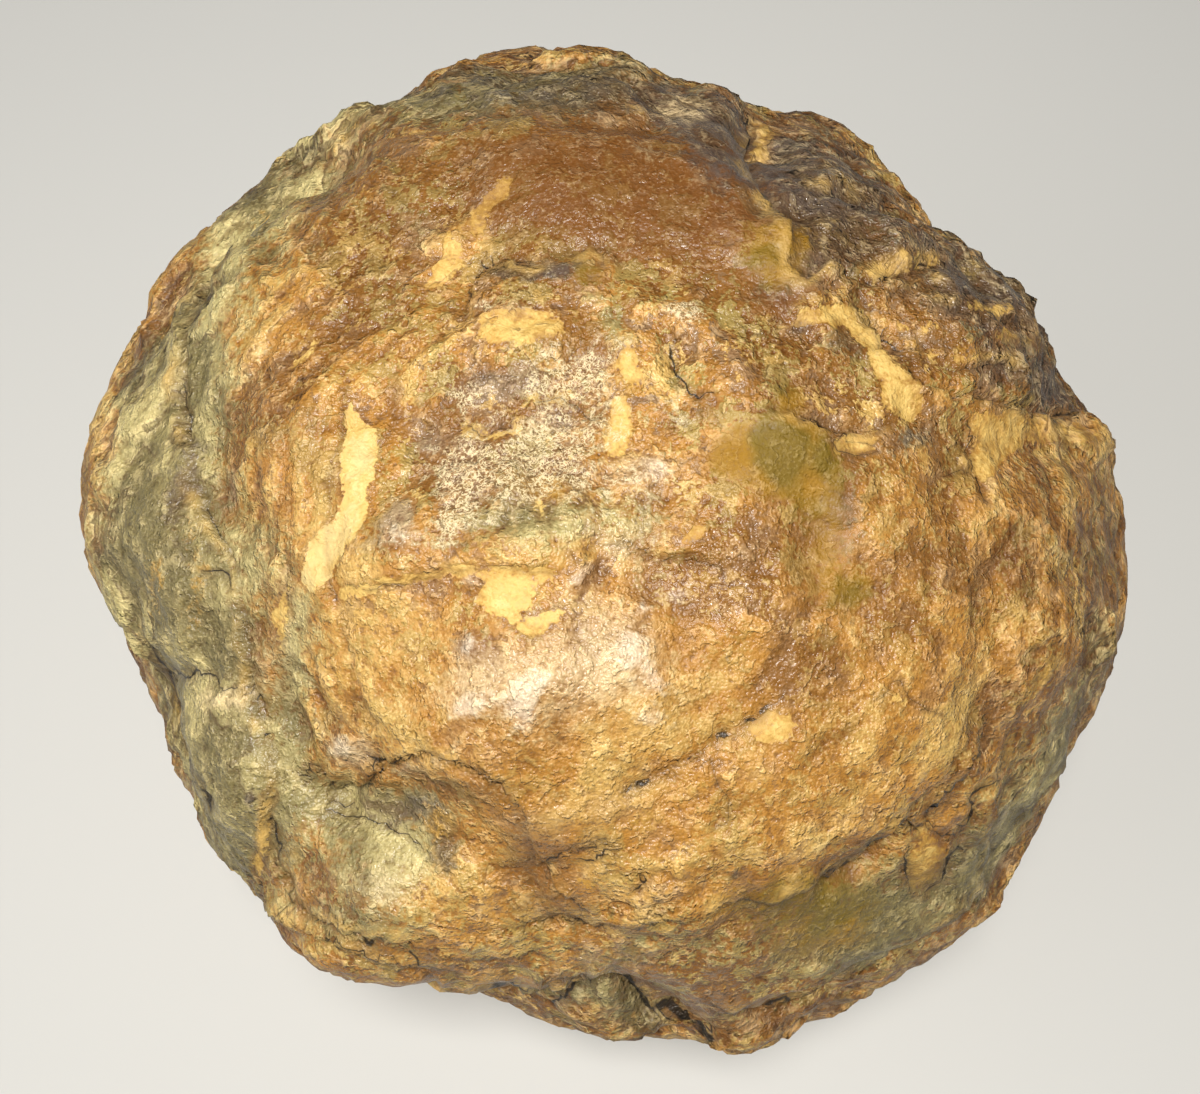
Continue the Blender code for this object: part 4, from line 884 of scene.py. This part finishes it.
# Cracks and the gaps under lips, drawn dark: a painted shadow, black in the gap and softer beside it.
crack_off = abs(rind.painted("crack_side") + (blotch - 0.5) * 0.6 + (speck - 0.5) * 0.3)
crack_near = rind.between(1.2, 0.8, rind.painted("crack_far"))
crack = rind.between(0.06, -0.09, crack_off - rind.painted("crack_width")) * crack_near
shade_of_crack = rind.between(0.75, -0.1, crack_off - rind.painted("crack_width") * 1.5) * crack_near
colour = rind.mixed(shade_of_crack * 0.4, colour, DARK_BROWN)
colour = rind.mixed(crack * 0.92, colour, GAP_SHADOW)

sheen = (0.42 + flank_wire * 0.16 + (cloud - 0.5) * 0.4 + (sand - 0.5) * 0.5
         - violet_film_and_sheen * 0.14 + chip * 0.25 + flakes * 0.3 + rind.painted("olive") * 0.25)
fine_rise = ((wrinkle - 0.5) * (rough_wire * 0.75 + 0.25) + (speck - 0.5) * 0.7 + (sand - 0.5) * 0.2
             + (thread - 0.5) * flank_wire * 0.7)
rise = fine_rise * (1 - chip * 0.5) * calm + rind.between(-0.04, 0.04, scale_off) * scale_open * 0.16
rise -= chip * 0.15
bumps = rind.node("Bump", None, {"Height": rise, "Strength": 1.0, "Distance": FINE_RELIEF})
rind.feed(rind.shader.inputs["Base Color"], colour)
rind.feed(rind.shader.inputs["Roughness"], sheen)
rind.feed(rind.shader.inputs["Normal"], bumps)

nodule.data.materials.clear()
nodule.data.materials.append(rind.data)
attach(nodule, "root")
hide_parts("nodule")


# The floor. A plain pale sheet, flat and matt, that the stone lies on.
FLOOR_HALF = 0.9
bpy.ops.object.select_all(action="DESELECT")
bpy.ops.mesh.primitive_plane_add(size=2 * FLOOR_HALF, location=(0, 0, 0))
floor = bpy.context.object
floor.name = "floor"
pale = Material("pale_floor")
pale.shader.inputs["Base Color"].default_value = (0.62, 0.62, 0.60, 1)
pale.shader.inputs["Roughness"].default_value = 0.9
floor.data.materials.append(pale.data)


# The camera and the lights. The camera looks straight down the face's axis, as the photograph does;
# a soft lamp stands close above it and wide weak ones fill the sides.
LENS = 45.0
SENSOR = 36.0
CAMERA_RISE = 0.3 * MM  # the picture's middle lies this far above the stone's centre
KEY_SIZE, KEY_WATTS, KEY_TINT = 0.08, 1.72, (1, 0.97, 0.92)
FILL_SIZE, LEFT_WATTS, RIGHT_WATTS = 0.4, 0.75, 0.1
ROOM_LIGHT = 0.06

middle = Vector(centre)
axis = Vector(face_axis)
up = Vector(face_up)
camera = bpy.data.objects.new("camera", bpy.data.cameras.new("camera"))
camera.location = middle + axis * EYE + up * CAMERA_RISE
camera.rotation_euler = (FACE_LEAN, 0, 0)
camera.data.lens = LENS
camera.data.sensor_width = SENSOR
camera.data.clip_start = 0.005
bpy.context.scene.collection.objects.link(camera)
bpy.context.scene.camera = camera


def lamp(name, place_of_it, size, watts, tint=(1, 1, 1)):
    light = bpy.data.lights.new(name, "AREA")
    light.size = size
    light.energy = watts
    light.color = tint
    stand = bpy.data.objects.new(name, light)
    stand.location = place_of_it
    stand.rotation_euler = (middle - place_of_it).to_track_quat("-Z", "Y").to_euler()
    bpy.context.scene.collection.objects.link(stand)


lamp("key", middle + axis * 0.35 + up * 0.055 + Vector((-0.01, 0, 0)), KEY_SIZE, KEY_WATTS, KEY_TINT)
lamp("left_fill", middle + axis * 0.3 + Vector((-0.45, 0, 0)), FILL_SIZE, LEFT_WATTS)
lamp("right_fill", middle + axis * 0.3 + Vector((0.45, 0, 0)), FILL_SIZE, RIGHT_WATTS)
world = bpy.data.worlds.new("soft_room")
world.use_nodes = True
world.node_tree.nodes["Background"].inputs["Color"].default_value = (1, 1, 1, 1)
world.node_tree.nodes["Background"].inputs["Strength"].default_value = ROOM_LIGHT
bpy.context.scene.world = world
bpy.context.scene.view_settings.view_transform = "Standard"
